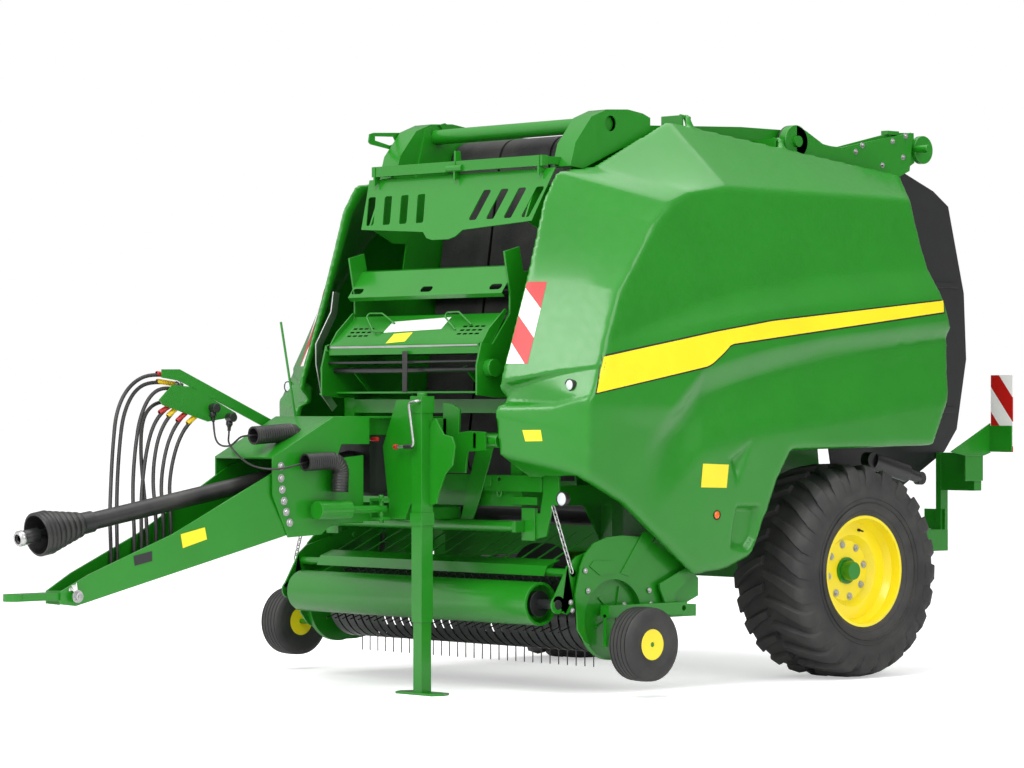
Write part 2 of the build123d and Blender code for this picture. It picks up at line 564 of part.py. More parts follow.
def cylinders():
    base = Vector(CYL_X, BARREL_Y, BARREL_Z)
    eye = Vector(CYL_X, EYE_Y, EYE_Z)
    along = (eye - base).normalized()
    length = (eye - base).length
    barrel_end = length * 0.62

    def at(s):
        return tuple(base + along * s)

    barrel = rod(at(0), at(barrel_end), CYL_D) - rod(at(90), at(barrel_end + 1), ROD_D + 2 * RUN) \
        + disc(BARREL_Y, BARREL_Z, 90, CYL_X - CYL_D / 2, CYL_X + CYL_D / 2) \
        - disc(BARREL_Y, BARREL_Z, EYE_PIN_D + 2 * RUN, CYL_X - 60, CYL_X + 60)
    pair("cylinder_barrel", barrel)
    piston = rod(at(barrel_end - 330), at(length - 30), ROD_D) + disc(EYE_Y, EYE_Z, 90, CYL_X - 20, CYL_X + 20)
    pair("cylinder_rod", piston)


# ---------------------------------------------------------------- top and net box
def top_gear():
    x = CHAMBER_HALF
    NODES["top_tube"] = disc(TOP_TUBE_Y, TOP_TUBE_Z, TOP_TUBE_D, -720, 720)
    guard = cheek([(-1800, 2300), (-1700, 2680), (-1690, 2680), (-1790, 2300)], -760, 760)
    bracket = cheek([(-1797, 2302), (-1750, 2480), (-1560, 2480), (-1600, 2302)], x, x + SKIN)
    NODES["slotted_guard"] = guard + symmetric(bracket - cheek([(-1640, 2080), (-1560, 2560), (-1000, 2560),
                                                                (-1000, 2080)], x - 1, x + SKIN + 1))
    side = cheek([(-1560, 1500), (-2100, 1500), (-2160, 1720), (-2060, 1900), (-1960, 2150), (-1650, 2150),
                  (-1640, 2080)], x, x + SKIN)
    roll = disc(-1850, 1800, 200, -x, x)
    floor = block((-x, x), (-2090, -1700), (1500, 1510))
    NODES["net_box"] = symmetric(side) + roll + floor
    cover = cheek([(NET_HINGE_Y, NET_HINGE_Z - 5), (NET_HINGE_Y + 110, NET_HINGE_Z + 170),
                   (NET_HINGE_Y + 118, NET_HINGE_Z + 165), (NET_HINGE_Y + 8, NET_HINGE_Z - 10)],
                  -x + RUN, x - RUN)
    NODES["net_cover"] = cover


def rear_lamps():
    bracket = block((SILL_OUT, 937), (REAR_Y - 60, REAR_Y), (965, 1175)) \
        + block((SILL_OUT - 38, SILL_OUT), (REAR_Y - 60, REAR_Y), (SILL_TOP, 1175))
    board = block((958, 1113), (1345, 1352), (1180, 1607))
    arm = block((937, 1113), (REAR_Y - 20, 1345), (1100, 1180))
    NODES["rear_brackets"] = symmetric(bracket + arm)
    pair("marker_board", board)


main_wheels()
main_frame()
front_members()
chamber()
drawbar()
drive_line()
jack()
pickup()
gauge_wheels()
feed_rotor()
side_panels()
tailgate()
cylinders()
top_gear()
rear_lamps()

os.makedirs("parts", exist_ok=True)
for name, solid in NODES.items():
    export_step(Pos(0, AXLE_Y, 0) * solid, os.path.join("parts", name + ".step"))
print(len(NODES), "pieces written")
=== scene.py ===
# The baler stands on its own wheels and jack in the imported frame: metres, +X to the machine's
# left, +Y towards the tailgate, +Z up.
import json
from math import cos, hypot, pi, radians, sin, tan

import bmesh
import bpy
from mathutils import Euler, Matrix, Vector
from mathutils.bvhtree import BVHTree


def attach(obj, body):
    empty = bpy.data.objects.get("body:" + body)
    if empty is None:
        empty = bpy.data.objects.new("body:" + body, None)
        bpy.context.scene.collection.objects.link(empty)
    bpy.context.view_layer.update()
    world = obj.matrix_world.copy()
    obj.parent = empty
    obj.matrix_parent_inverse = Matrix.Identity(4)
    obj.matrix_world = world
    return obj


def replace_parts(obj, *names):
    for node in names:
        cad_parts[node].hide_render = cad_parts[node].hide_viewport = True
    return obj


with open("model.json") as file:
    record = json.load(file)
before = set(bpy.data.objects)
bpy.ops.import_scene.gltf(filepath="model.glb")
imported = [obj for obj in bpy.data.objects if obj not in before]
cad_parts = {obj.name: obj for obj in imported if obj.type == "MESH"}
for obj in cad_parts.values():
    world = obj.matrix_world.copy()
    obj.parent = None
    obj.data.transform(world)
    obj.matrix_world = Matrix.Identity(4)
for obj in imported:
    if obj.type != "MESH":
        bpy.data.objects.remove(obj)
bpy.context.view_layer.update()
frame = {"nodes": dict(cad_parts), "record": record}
nodes = frame["nodes"]
AXLE_Y = 1.535                      # the wheels' axle, ahead of which the drawbar lies

# Camera: a long lens, a little over head height, from the left front quarter of the machine.
CAMERA_PLACE = (14.344, AXLE_Y - 14.536, 1.43)
CAMERA_TURN = 47.5                  # degrees from the machine's length
CAMERA_RISE = 0.356
lens = bpy.data.cameras.new("camera")
lens.sensor_width = 36.0
lens.lens = 130.08
lens.clip_end = 500.0
camera = bpy.data.objects.new("camera", lens)
camera.location = CAMERA_PLACE
camera.rotation_euler = Euler((radians(90 + CAMERA_RISE), 0, radians(CAMERA_TURN)))
bpy.context.scene.collection.objects.link(camera)
bpy.context.scene.camera = camera
bpy.context.scene.view_settings.view_transform = "Standard"


# Studio: a world that is brighter ahead of the machine than behind it, a plain pale floor that
# runs out of sight, and three large soft lamps, the key one high over the drawbar.
def add(tree, kind, settings=(), sockets=()):
    """Adds one node to a tree. Settings are its properties; sockets are values or links."""
    node = tree.nodes.new(kind)
    for name, value in dict(settings).items():
        setattr(node, name, value)
    for name, value in dict(sockets).items():
        if isinstance(value, bpy.types.NodeSocket):
            tree.links.new(value, node.inputs[name])
        else:
            node.inputs[name].default_value = value
    return node


def linear(colour):
    """Turns an sRGB hex colour into the linear RGBA of the shaders."""
    parts = [int(colour[i:i + 2], 16) / 255 for i in (1, 3, 5)]
    return tuple(c / 12.92 if c <= 0.04045 else ((c + 0.055) / 1.055) ** 2.4 for c in parts) + (1.0,)


world = bpy.data.worlds.new("studio")
bpy.context.scene.world = world
world.use_nodes = True
sky = world.node_tree
sky.nodes.clear()
ray = add(sky, "ShaderNodeLightPath")
seen = add(sky, "ShaderNodeMath", {"operation": "MAXIMUM"},
           {0: ray.outputs["Is Camera Ray"], 1: ray.outputs["Is Transmission Ray"]})
way = add(sky, "ShaderNodeSeparateXYZ", (), {0: add(sky, "ShaderNodeTexCoord").outputs["Generated"]})
ahead = add(sky, "ShaderNodeMapRange", {"interpolation_type": "SMOOTHSTEP"},
            {"Value": way.outputs[1], "From Min": -0.9, "From Max": 0.8, "To Min": 0.98, "To Max": 0.14})
above = add(sky, "ShaderNodeMapRange", (),
            {"Value": way.outputs[2], "From Min": -0.2, "From Max": 0.9, "To Min": 0.0, "To Max": 0.30})
level_of_light = add(sky, "ShaderNodeMath", {"operation": "ADD"},
                     {0: ahead.outputs["Result"], 1: above.outputs["Result"]})
soft = add(sky, "ShaderNodeBackground", (),
           {"Color": (1, 1, 1, 1), "Strength": level_of_light.outputs[0]})
white = add(sky, "ShaderNodeBackground", (), {"Color": (1, 1, 1, 1), "Strength": 1.0})
either = add(sky, "ShaderNodeMixShader", (),
             {0: seen.outputs[0], 1: soft.outputs[0], 2: white.outputs[0]})
add(sky, "ShaderNodeOutputWorld", (), {"Surface": either.outputs[0]})

FLOOR_REACH = 160.0
floor_mesh = bpy.data.meshes.new("floor")
floor_mesh.from_pydata([(-FLOOR_REACH, -FLOOR_REACH, 0), (FLOOR_REACH, -FLOOR_REACH, 0),
                        (FLOOR_REACH, FLOOR_REACH, 0), (-FLOOR_REACH, FLOOR_REACH, 0)],
                       [], [(0, 1, 2, 3)])
floor = bpy.data.objects.new("floor", floor_mesh)
bpy.context.scene.collection.objects.link(floor)


def new_material(name):
    """New material with an empty tree, and that tree."""
    material = bpy.data.materials.new(name)
    material.use_nodes = True
    material.node_tree.nodes.clear()
    return material, material.node_tree


pale, tree = new_material("pale_floor")
ray = add(tree, "ShaderNodeLightPath")
plain = add(tree, "ShaderNodeBsdfDiffuse", (), {"Color": (0.86, 0.86, 0.86, 1)})
lift = add(tree, "ShaderNodeEmission", (), {"Color": (1, 1, 1, 1), "Strength": 0.46})
lifted = add(tree, "ShaderNodeAddShader", (), {0: plain.outputs[0], 1: lift.outputs[0]})
both_ways = add(tree, "ShaderNodeMixShader", (),
                {0: ray.outputs["Is Camera Ray"], 1: plain.outputs[0], 2: lifted.outputs[0]})
add(tree, "ShaderNodeOutputMaterial", (), {"Surface": both_ways.outputs[0]})
floor_mesh.materials.append(pale)

# Name, place, size and watts of each lamp. All of them look at the middle of the machine.
MIDDLE = Vector((0.0, 0.2, 1.3))
for name, place, size, power in (("key", (3.0, -9.0, 9.5), 7.0, 900.0),
                                 ("side", (11.0, 1.0, 6.5), 6.0, 330.0),
                                 ("over", (0.0, 2.0, 9.0), 8.0, 420.0)):
    lamp = bpy.data.lights.new(name, "AREA")
    lamp.size = size
    lamp.energy = power
    holder = bpy.data.objects.new(name, lamp)
    holder.location = place
    holder.rotation_euler = (MIDDLE - Vector(place)).to_track_quat("-Z", "Y").to_euler()
    bpy.context.scene.collection.objects.link(holder)


# Every welded and folded steel part of the machine is sprayed with a two-part gloss enamel. The
# film is smooth with a faint orange peel, a touch paler and duller where hands and crop rub it.
# A pattern's scale comes from a real size in millimetres; one cell of a noise holds four grains.
GRAINS_PER_CELL = 4
PEEL_MM = 1.6
CLOUD_MM = 400.0
DUST_MM = 41.7


def enamel(name, colour, gloss=0.28):
    """Sprayed gloss enamel: coloured film under a clear shine, orange peel of a real size."""
    paint, tree = new_material(name)
    place = add(tree, "ShaderNodeTexCoord").outputs["Object"]
    cloud = add(tree, "ShaderNodeTexNoise", (),
                {"Vector": place, "Scale": 1000.0 / CLOUD_MM, "Detail": 3.0})
    tone = add(tree, "ShaderNodeMapRange", (),
               {"Value": cloud.outputs["Fac"], "From Min": 0.3, "From Max": 0.7,
                "To Min": 0.94, "To Max": 1.05})
    film = add(tree, "ShaderNodeHueSaturation", (),
               {"Color": linear(colour), "Value": tone.outputs["Result"]})
    dust = add(tree, "ShaderNodeTexNoise", (),
               {"Vector": place, "Scale": 1000.0 / DUST_MM, "Detail": 5.0})
    dull = add(tree, "ShaderNodeMapRange", (),
               {"Value": dust.outputs["Fac"], "From Min": 0.35, "From Max": 0.75,
                "To Min": gloss, "To Max": gloss + 0.10})
    peel = add(tree, "ShaderNodeTexNoise", (),
               {"Vector": place, "Scale": 1000.0 / (GRAINS_PER_CELL * PEEL_MM), "Detail": 1.0})
    skin = add(tree, "ShaderNodeBump", (),
               {"Height": peel.outputs["Fac"], "Strength": 0.05, "Distance": 0.0004})
    shader = add(tree, "ShaderNodeBsdfPrincipled", (),
                 {"Base Color": film.outputs["Color"], "Roughness": dull.outputs["Result"],
                  "Normal": skin.outputs["Normal"], "IOR": 1.5, "Coat Weight": 0.35,
                  "Coat Roughness": 0.12})
    add(tree, "ShaderNodeOutputMaterial", (), {"Surface": shader.outputs[0]})
    return paint


DUST_PATCH_MM = 167.0


def rubber(name, colour, grain_mm, rough=0.62, height=0.0005):
    """Moulded or extruded rubber: matt, finely grained, greyed by dust in broad patches."""
    matter, tree = new_material(name)
    place = add(tree, "ShaderNodeTexCoord").outputs["Object"]
    patch = add(tree, "ShaderNodeTexNoise", (),
                {"Vector": place, "Scale": 1000.0 / DUST_PATCH_MM, "Detail": 6.0})
    dusty = add(tree, "ShaderNodeMapRange", (),
                {"Value": patch.outputs["Fac"], "From Min": 0.35, "From Max": 0.75,
                 "To Min": 0.0, "To Max": 0.35})
    tone = add(tree, "ShaderNodeMix", {"data_type": "RGBA"},
               {"Factor": dusty.outputs["Result"], 6: linear(colour), 7: linear("#55534F")})
    grain = add(tree, "ShaderNodeTexNoise", (),
                {"Vector": place, "Scale": 1000.0 / (GRAINS_PER_CELL * grain_mm), "Detail": 4.0})
    skin = add(tree, "ShaderNodeBump", (),
               {"Height": grain.outputs["Fac"], "Strength": 0.35, "Distance": height})
    dull = add(tree, "ShaderNodeMapRange", (),
               {"Value": grain.outputs["Fac"], "From Min": 0.3, "From Max": 0.7,
                "To Min": rough - 0.06, "To Max": rough + 0.10})
    shader = add(tree, "ShaderNodeBsdfPrincipled", (),
                 {"Base Color": tone.outputs[2], "Roughness": dull.outputs["Result"],
                  "Normal": skin.outputs["Normal"], "IOR": 1.52})
    add(tree, "ShaderNodeOutputMaterial", (), {"Surface": shader.outputs[0]})
    return matter


STAIN_MM = 71.4


def steel(name, colour, rough=0.3, spangle_mm=4.0):
    """Plated steel: clear metal whose shine changes from grain to grain of the plating."""
    metal, tree = new_material(name)
    place = add(tree, "ShaderNodeTexCoord").outputs["Object"]
    cells = add(tree, "ShaderNodeTexVoronoi", (), {"Vector": place, "Scale": 1000.0 / spangle_mm})
    shine = add(tree, "ShaderNodeMapRange", (),
                {"Value": cells.outputs["Distance"], "To Min": rough - 0.05, "To Max": rough + 0.12})
    stain = add(tree, "ShaderNodeTexNoise", (),
                {"Vector": place, "Scale": 1000.0 / STAIN_MM, "Detail": 4.0})
    tone = add(tree, "ShaderNodeMapRange", (),
               {"Value": stain.outputs["Fac"], "From Min": 0.3, "From Max": 0.7,
                "To Min": 0.86, "To Max": 1.04})
    film = add(tree, "ShaderNodeHueSaturation", (),
               {"Color": linear(colour), "Value": tone.outputs["Result"]})
    shader = add(tree, "ShaderNodeBsdfPrincipled", (),
                 {"Base Color": film.outputs["Color"], "Roughness": shine.outputs["Result"],
                  "Metallic": 1.0})
    add(tree, "ShaderNodeOutputMaterial", (), {"Surface": shader.outputs[0]})
    return metal


green = enamel("green_gloss_enamel", "#187D12")
yellow = enamel("yellow_gloss_enamel", "#F4DF1C")
black = enamel("black_satin_enamel", "#161718", gloss=0.42)
tyre_rubber = rubber("tyre_rubber", "#232324", 0.9)
belt_rubber = rubber("belt_rubber", "#1D1D1E", 2.5, 0.7, 0.001)
hose_rubber = rubber("hose_rubber", "#141415", 0.4, 0.45, 0.0002)
moulded = rubber("moulded_plastic", "#1A1A1B", 0.6, 0.42, 0.0001)
zinc = steel("zinc_plate", "#C2C3C2")
chrome = steel("hard_chrome", "#DADADC", 0.12, 9.0)
by_slot = {"green": green, "panel": green, "yellow": yellow, "black": black, "tyre": tyre_rubber,
           "belt": belt_rubber, "hose": hose_rubber, "guard_plastic": moulded, "zinc": zinc,
           "chrome": chrome}
for row in frame["record"]["subparts"]:
    # the marker boards get their film in a section of their own
    if row["material_slot"] in by_slot:
        slots = nodes[row["node"]].data.materials
        slots.clear()
        slots.append(by_slot[row["material_slot"]])


# Sheet and plate edges are rolled or dressed, so every steel edge takes a round of just under
# 2 mm that catches the light.
def dressed(obj, width, angle):
    """Rounds the edges of a piece at which its faces turn by more than an angle in degrees."""
    soft = obj.modifiers.new("dressed_edges", "BEVEL")
    soft.width = width
    soft.segments = 2
    soft.limit_method = "ANGLE"
    soft.angle_limit = radians(angle)


for name, node in nodes.items():
    if "tyre" not in name and "panel" not in name and not name.startswith(("hose_", "lead_")):
        dressed(node, 0.0018, 40)


# Main tyres, 500 mm wide implement tyres: a radial carcass with a round shoulder, and 24 chevron
# lugs a side that run from the middle of the tread over the shoulder. Moulded in one.
SIDES = ((1, "left"), (-1, "right"))
AXLE_Z = 0.565
TRACK = 2.040
LUGS = 24
# half profile of the carcass: distance from the middle of the tread, radius
CARCASS = [(0.196, 0.280), (0.214, 0.300), (0.236, 0.345), (0.2475, 0.400), (0.2485, 0.440),
           (0.243, 0.480), (0.232, 0.507), (0.212, 0.524), (0.170, 0.533), (0.090, 0.537),
           (0.0, 0.538)]
# inner wall between the beads
BEAD = [(-0.190, 0.282), (-0.150, 0.300), (0.150, 0.300), (0.190, 0.282)]
# raised bands of the sidewall, a rim-guard bead and two fine lines: distance from the middle,
# radius, half width
BANDS = [(0.2462, 0.385, 0.004), (0.2425, 0.360, 0.0025), (0.2225, 0.318, 0.005)]
# stations of one lug: distance from the middle, root radius, top radius, lead in degrees, width
LUG = [(0.006, 0.530, 0.5640, 0.0, 0.052), (0.070, 0.530, 0.5640, 2.6, 0.060),
       (0.140, 0.527, 0.5610, 6.4, 0.074), (0.200, 0.518, 0.5500, 10.4, 0.088),
       (0.232, 0.500, 0.5330, 12.8, 0.090), (0.2465, 0.470, 0.4980, 13.8, 0.084),
       (0.2495, 0.440, 0.4560, 14.2, 0.070)]


def piece(name, form, body, material, smooth_angle=40.0):
    """Turns a bmesh or a mesh into a finished piece that rides on a body."""
    if isinstance(form, bmesh.types.BMesh):
        bmesh.ops.remove_doubles(form, verts=form.verts, dist=0.00001)
        bmesh.ops.recalc_face_normals(form, faces=form.faces)
        mesh = bpy.data.meshes.new(name)
        form.to_mesh(mesh)
        form.free()
    else:
        mesh = form
    mesh.materials.clear()
    mesh.materials.append(material)
    mesh.shade_smooth()
    if smooth_angle < 180:
        mesh.set_sharp_from_angle(angle=radians(smooth_angle))
    obj = bpy.data.objects.new(name, mesh)
    bpy.context.scene.collection.objects.link(obj)
    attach(obj, body)
    return obj


def skin_rings(form, rings):
    """Faces between each ring of vertices and the next one."""
    count = len(rings[0])
    for a, b in zip(rings, rings[1:]):
        for j in range(count):
            k = (j + 1) % count
            form.faces.new((a[j], a[k], b[k], b[j]))


def revolved(profile, steps):
    """Closed form turned about the X axis from a profile of (x, radius)."""
    form = bmesh.new()
    rings = []
    for i in range(steps):
        turn = 2 * pi * i / steps
        rings.append([form.verts.new((x, r * cos(turn), r * sin(turn))) for x, r in profile])
    skin_rings(form, rings + rings[:1])
    return form


# One Geometry Nodes group sets a copy of a seed shape on every point of a mesh. First Turn turns
# all of them, and Turn is added once more from each copy to the next.
repeat = bpy.data.node_groups.new("repeat_a_seed", "GeometryNodeTree")
repeat.interface.new_socket("Places", in_out="INPUT", socket_type="NodeSocketGeometry")
repeat_inputs = {}
for title, kind in (("Seed", "NodeSocketObject"), ("First Turn", "NodeSocketVector"),
                    ("Turn", "NodeSocketVector"), ("Material", "NodeSocketMaterial")):
    socket = repeat.interface.new_socket(title, in_out="INPUT", socket_type=kind)
    repeat_inputs[title] = socket.identifier
repeat.interface.new_socket("Geometry", in_out="OUTPUT", socket_type="NodeSocketGeometry")
given = add(repeat, "NodeGroupInput").outputs
order = add(repeat, "GeometryNodeInputIndex").outputs[0]
turned = add(repeat, "ShaderNodeVectorMath", {"operation": "SCALE"},
             {0: given["Turn"], "Scale": order})
angle = add(repeat, "ShaderNodeVectorMath", {"operation": "ADD"},
            {0: given["First Turn"], 1: turned.outputs[0]})
rotation = add(repeat, "FunctionNodeEulerToRotation", (), {0: angle.outputs[0]})
seed_shape = add(repeat, "GeometryNodeObjectInfo", {"transform_space": "ORIGINAL"},
                 {"Object": given["Seed"]})
copies = add(repeat, "GeometryNodeInstanceOnPoints", (),
             {"Points": given["Places"], "Instance": seed_shape.outputs["Geometry"],
              "Rotation": rotation.outputs[0]})
solid = add(repeat, "GeometryNodeRealizeInstances", (), {0: copies.outputs[0]})
coated = add(repeat, "GeometryNodeSetMaterial", (),
             {"Geometry": solid.outputs[0], "Material": given["Material"]})
add(repeat, "NodeGroupOutput", (), {0: coated.outputs[0]})


def repeated(name, seed, places, body, material, first_turn=(0, 0, 0), turn=(0, 0, 0),
             smooth_angle=40.0):
    """Copies of a seed bmesh at a list of places, evaluated into one plain mesh."""
    bmesh.ops.recalc_face_normals(seed, faces=seed.faces)
    seed_mesh = bpy.data.meshes.new(name + "_seed")
    seed.to_mesh(seed_mesh)
    seed.free()
    seed_object = bpy.data.objects.new(name + "_seed", seed_mesh)
    points = bpy.data.meshes.new(name + "_places")
    points.from_pydata(places, [], [])
    host = bpy.data.objects.new(name + "_host", points)
    for helper in (seed_object, host):
        bpy.context.scene.collection.objects.link(helper)
    modifier = host.modifiers.new("repeat", "NODES")
    modifier.node_group = repeat
    for title, value in (("Seed", seed_object), ("First Turn", first_turn), ("Turn", turn),
                         ("Material", material)):
        modifier[repeat_inputs[title]] = value
    bpy.context.view_layer.update()
    ready = host.evaluated_get(bpy.context.evaluated_depsgraph_get())
    mesh = bpy.data.meshes.new_from_object(ready)
    mesh.name = name
    bpy.data.objects.remove(host)
    bpy.data.objects.remove(seed_object)
    return piece(name, mesh, body, material, smooth_angle)


def lug_shape(side, lead):
    """One lug of the tread about the wheel's own centre, its top narrower than its root."""
    form = bmesh.new()
    rings = []
    for x, root, top, degrees, width in LUG:
        turn = radians(degrees) + lead
        ring = []
        slope = 0.010 if top > root + 0.02 else 0.004
        brow = top - 0.006
        for radius, half in ((root, width / 2), (brow, width / 2 - slope / 2),
                             (top, width / 2 - slope), (top, slope - width / 2),
                             (brow, slope / 2 - width / 2), (root, -width / 2)):
            a = turn + half / radius
            ring.append(form.verts.new((side * x, radius * cos(a), radius * sin(a))))
        rings.append(ring)
    skin_rings(form, rings)
    form.faces.new(rings[0])
    form.faces.new(rings[-1][::-1])
    return form


for side, name in SIDES:
    body = name + "_wheel"
    middle = (side * TRACK / 2, AXLE_Y, AXLE_Z)
    outline = CARCASS + [(-x, r) for x, r in CARCASS[-2::-1]] + BEAD
    form = revolved([(x + middle[0], r) for x, r in outline], 120)
    bmesh.ops.translate(form, verts=form.verts, vec=(0, middle[1], middle[2]))
    tyre = piece(name + "_tyre_carcass", form, body, tyre_rubber, 60)
    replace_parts(tyre, name + "_tyre")
    for half, lead in ((1, 0.0), (-1, pi / LUGS)):
        repeated(f"{name}_lugs_{'outer' if half == side else 'inner'}", lug_shape(half, lead),
                 [middle] * LUGS, body, tyre_rubber, turn=(2 * pi / LUGS, 0, 0))
    for out, radius, half in BANDS:
        foot, top = (side * (TRACK / 2 + out + rise) for rise in (-0.004, 0.002))
        band = revolved([(foot, radius - half), (top, radius - half / 2), (top, radius + half / 2),
                         (foot, radius + half)], 96)
        bmesh.ops.translate(band, verts=band.verts, vec=(0, middle[1], middle[2]))
        piece(f"{name}_sidewall_band_{int(radius * 1000)}", band, body, tyre_rubber, 60)


# Gauge wheel tyres: small solid-ribbed cross-ply tyres, black rubber, pressed on the rims. They
# have five grooves round the tread and a raised ring on each wall.
GAUGE_X, GAUGE_Y, GAUGE_Z = 1360.0, -1760.0, 264.0      # millimetres from the main axle
GROOVES, GROOVE_PITCH = 5, 0.025
# section of the tyre, (distance from the middle, radius): its foot on the rim, then one wall
GAUGE_BASE = [(-0.062, 0.076), (0.062, 0.076)]
GAUGE_WALL = [(0.070, 0.100), (0.0755, 0.112), (0.0770, 0.122), (0.0755, 0.132), (0.0772, 0.146),
              (0.0740, 0.160), (0.0660, 0.172)]
line = GAUGE_BASE + GAUGE_WALL
for groove in range(GROOVES):
    x = GROOVE_PITCH * ((GROOVES - 1) / 2 - groove)
    crown = 0.1840 - 0.9 * x * x
    line += [(x + 0.0095, crown - 0.0012), (x + 0.0025, crown), (x + 0.0018, crown - 0.006),
             (x - 0.0018, crown - 0.006), (x - 0.0025, crown)]
line += [(-0.0600, 0.1806)] + [(-x, r) for x, r in GAUGE_WALL[::-1]]
for side, name in SIDES:
    form = revolved(line, 72)
    bmesh.ops.translate(form, verts=form.verts,
                        vec=(side * GAUGE_X / 1000, AXLE_Y + GAUGE_Y / 1000, GAUGE_Z / 1000))
    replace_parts(piece(name + "_gauge_tread", form, name + "_gauge_wheel", tyre_rubber, 50),
                name + "_gauge_tyre")


# Gull-wing side panels: thick rotationally moulded plastic, coloured right through. The moulding
# has no sharp edge anywhere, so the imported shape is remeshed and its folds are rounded.
MOULD_CELL = 0.014
SMOOTHING_ROUNDS = 10
SKIN_DISTANCE = 1.6         # outside every panel, where lines of sight to the skins start


def ease(t):
    """Smooth step from 0 to 1."""
    t = max(0.0, min(1.0, t))
    return t * t * (3 - 2 * t)


def inset(u, v, outline, edge):
    """0 outside a closed outline, eased up to 1 at a distance inside it."""
    inside, nearest = False, 9.0
    for (a, b), (c, d) in zip(outline, outline[1:] + outline[:1]):
        if (b > v) != (d > v) and u < (c - a) * (v - b) / (d - b) + a:
            inside = not inside
        t = ((u - a) * (c - a) + (v - b) * (d - b)) / ((c - a) ** 2 + (d - b) ** 2)
        t = max(0.0, min(1.0, t))
        nearest = min(nearest, hypot(u - a - t * (c - a), v - b - t * (d - b)))
    return ease(nearest / edge) if inside else 0.0


def level(y, line):
    """Height of a broken line at y."""
    for (a, b), (c, d) in zip(line, line[1:]):
        if y <= c:
            return b + (d - b) * (y - a) / (c - a)
    return line[-1][1]


# lines and hollows of the moulding from the axle: (y, z) on the side, (x, z) on the front
RIDGE_TOP = [(-2.300, 1.640), (-1.996, 1.720), (-1.150, 1.965), (-0.125, 2.150), (0.469, 2.225),
             (1.200, 2.300)]
RIDGE_FOOT = [(-1.900, 1.010), (-1.529, 1.351), (-1.195, 1.640), (-0.690, 1.740), (0.435, 1.890),
              (1.200, 1.960)]
HATCH = [(-0.940, 0.932), (-0.755, 0.923), (-0.791, 0.753), (-0.850, 0.688), (-0.973, 0.713),
         (-0.958, 0.841)]
CATCH = [(-1.020, 1.175), (-0.840, 1.275), (-0.950, 1.010)]
LAMP_POCKET = [(0.743, 1.450), (0.794, 1.554), (1.042, 1.617), (1.230, 1.650), (1.230, 1.474),
               (1.042, 1.427), (0.725, 1.430)]


# how deep each of them is pressed in
RIDGE_DEPTH, FOOT_DEPTH, HATCH_DEPTH, CATCH_DEPTH, POCKET_DEPTH = 0.036, 0.042, 0.050, 0.024, 0.055
POCKET_Y = -1.75            # the lamp pocket lies ahead of this


def pressed(mesh, side):
    """Press the ridge under the stripe, the hatch, the catch and the lamp pocket into the skin."""
    for vertex in mesh.vertices:
        x, y, z = abs(vertex.co.x), vertex.co.y - AXLE_Y, vertex.co.z
        flank = ease((x - 1.10) / 0.16)
        if flank:
            above = z - level(y, RIDGE_TOP) + 0.16
            below = level(y, RIDGE_FOOT) - z
            ridge = ease(above / 0.17) * ease(1.6 - above / 0.5) * ease((y + 2.0) / 0.7)
            ledge = ease(below / 0.15) * ease(1.5 - below / 0.32) * ease((y + 1.65) / 0.35)
            depth = RIDGE_DEPTH * ridge + FOOT_DEPTH * ledge \
                + HATCH_DEPTH * inset(y, z, HATCH, 0.022) + CATCH_DEPTH * inset(y, z, CATCH, 0.045)
            vertex.co.x -= side * flank * depth
        if y < POCKET_Y:
            pocket = inset(x, z, LAMP_POCKET, 0.026) * (1 - 0.75 * ease((x - 0.80) / 0.34))
            vertex.co.y += POCKET_DEPTH * pocket


def moulded_shell(name, node, body):
    """A soft-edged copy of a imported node, from a voxel remesh and a few rounds of smoothing."""
    mesh = nodes[node].data.copy()
    mesh.name = name
    shell = bpy.data.objects.new(name, mesh)
    bpy.context.scene.collection.objects.link(shell)
    cells = shell.modifiers.new("cells", "REMESH")
    cells.mode = "VOXEL"
    cells.voxel_size = MOULD_CELL
    relax = shell.modifiers.new("relax", "SMOOTH")
    relax.factor = 0.6
    relax.iterations = SMOOTHING_ROUNDS
    bpy.context.view_layer.update()
    ready = bpy.data.meshes.new_from_object(
        shell.evaluated_get(bpy.context.evaluated_depsgraph_get()))
    bpy.data.objects.remove(shell)
    pressed(ready, 1 if node.startswith("left") else -1)
    obj = piece(name, ready, body, green, 180)
    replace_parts(obj, node)
    return obj


panel_skins = {}
for side, name in SIDES:
    shell = moulded_shell(name + "_panel_shell", name + "_side_panel", name + "_panel")
    panel_skins[name] = BVHTree.FromObject(shell, bpy.context.evaluated_depsgraph_get())


# Stripes of the panels: yellow printed film on a black edge, less than 2 mm proud, laid over the
# moulding's own surface.
def drape(name, tree, rows, body, material, way, lift):
    """Film over a skin: rows of (x, y, z) points pushed along a direction until they touch it."""
    form = bmesh.new()
    way = Vector(way).normalized()
    grid = []
    for row in rows:
        line = []
        for point in row:
            hit = tree.ray_cast(Vector(point), way)[0] or tree.find_nearest(Vector(point))[0]
            line.append(form.verts.new(hit - way * lift))
        grid.append(line)
    for a, b in zip(grid, grid[1:]):
        for j in range(len(a) - 1):
            form.faces.new((a[j], a[j + 1], b[j + 1], b[j]))
    return piece(name, form, body, material, 180)


def between(low, high, columns, rows):
    """Grid of (y, z) points between two lines of points, even steps along each of them."""
    def along(line, share):
        """Point at a share of a line's length."""
        sizes = [(Vector(b) - Vector(a)).length for a, b in zip(line, line[1:])]
        left = share * sum(sizes)
        for (a, b), size in zip(zip(line, line[1:]), sizes):
            if left <= size:
                return Vector(a).lerp(Vector(b), left / size)
            left -= size
        return Vector(line[-1])
    return [[along(low, i / columns).lerp(along(high, i / columns), j / rows)
             for i in range(columns + 1)] for j in range(rows + 1)]


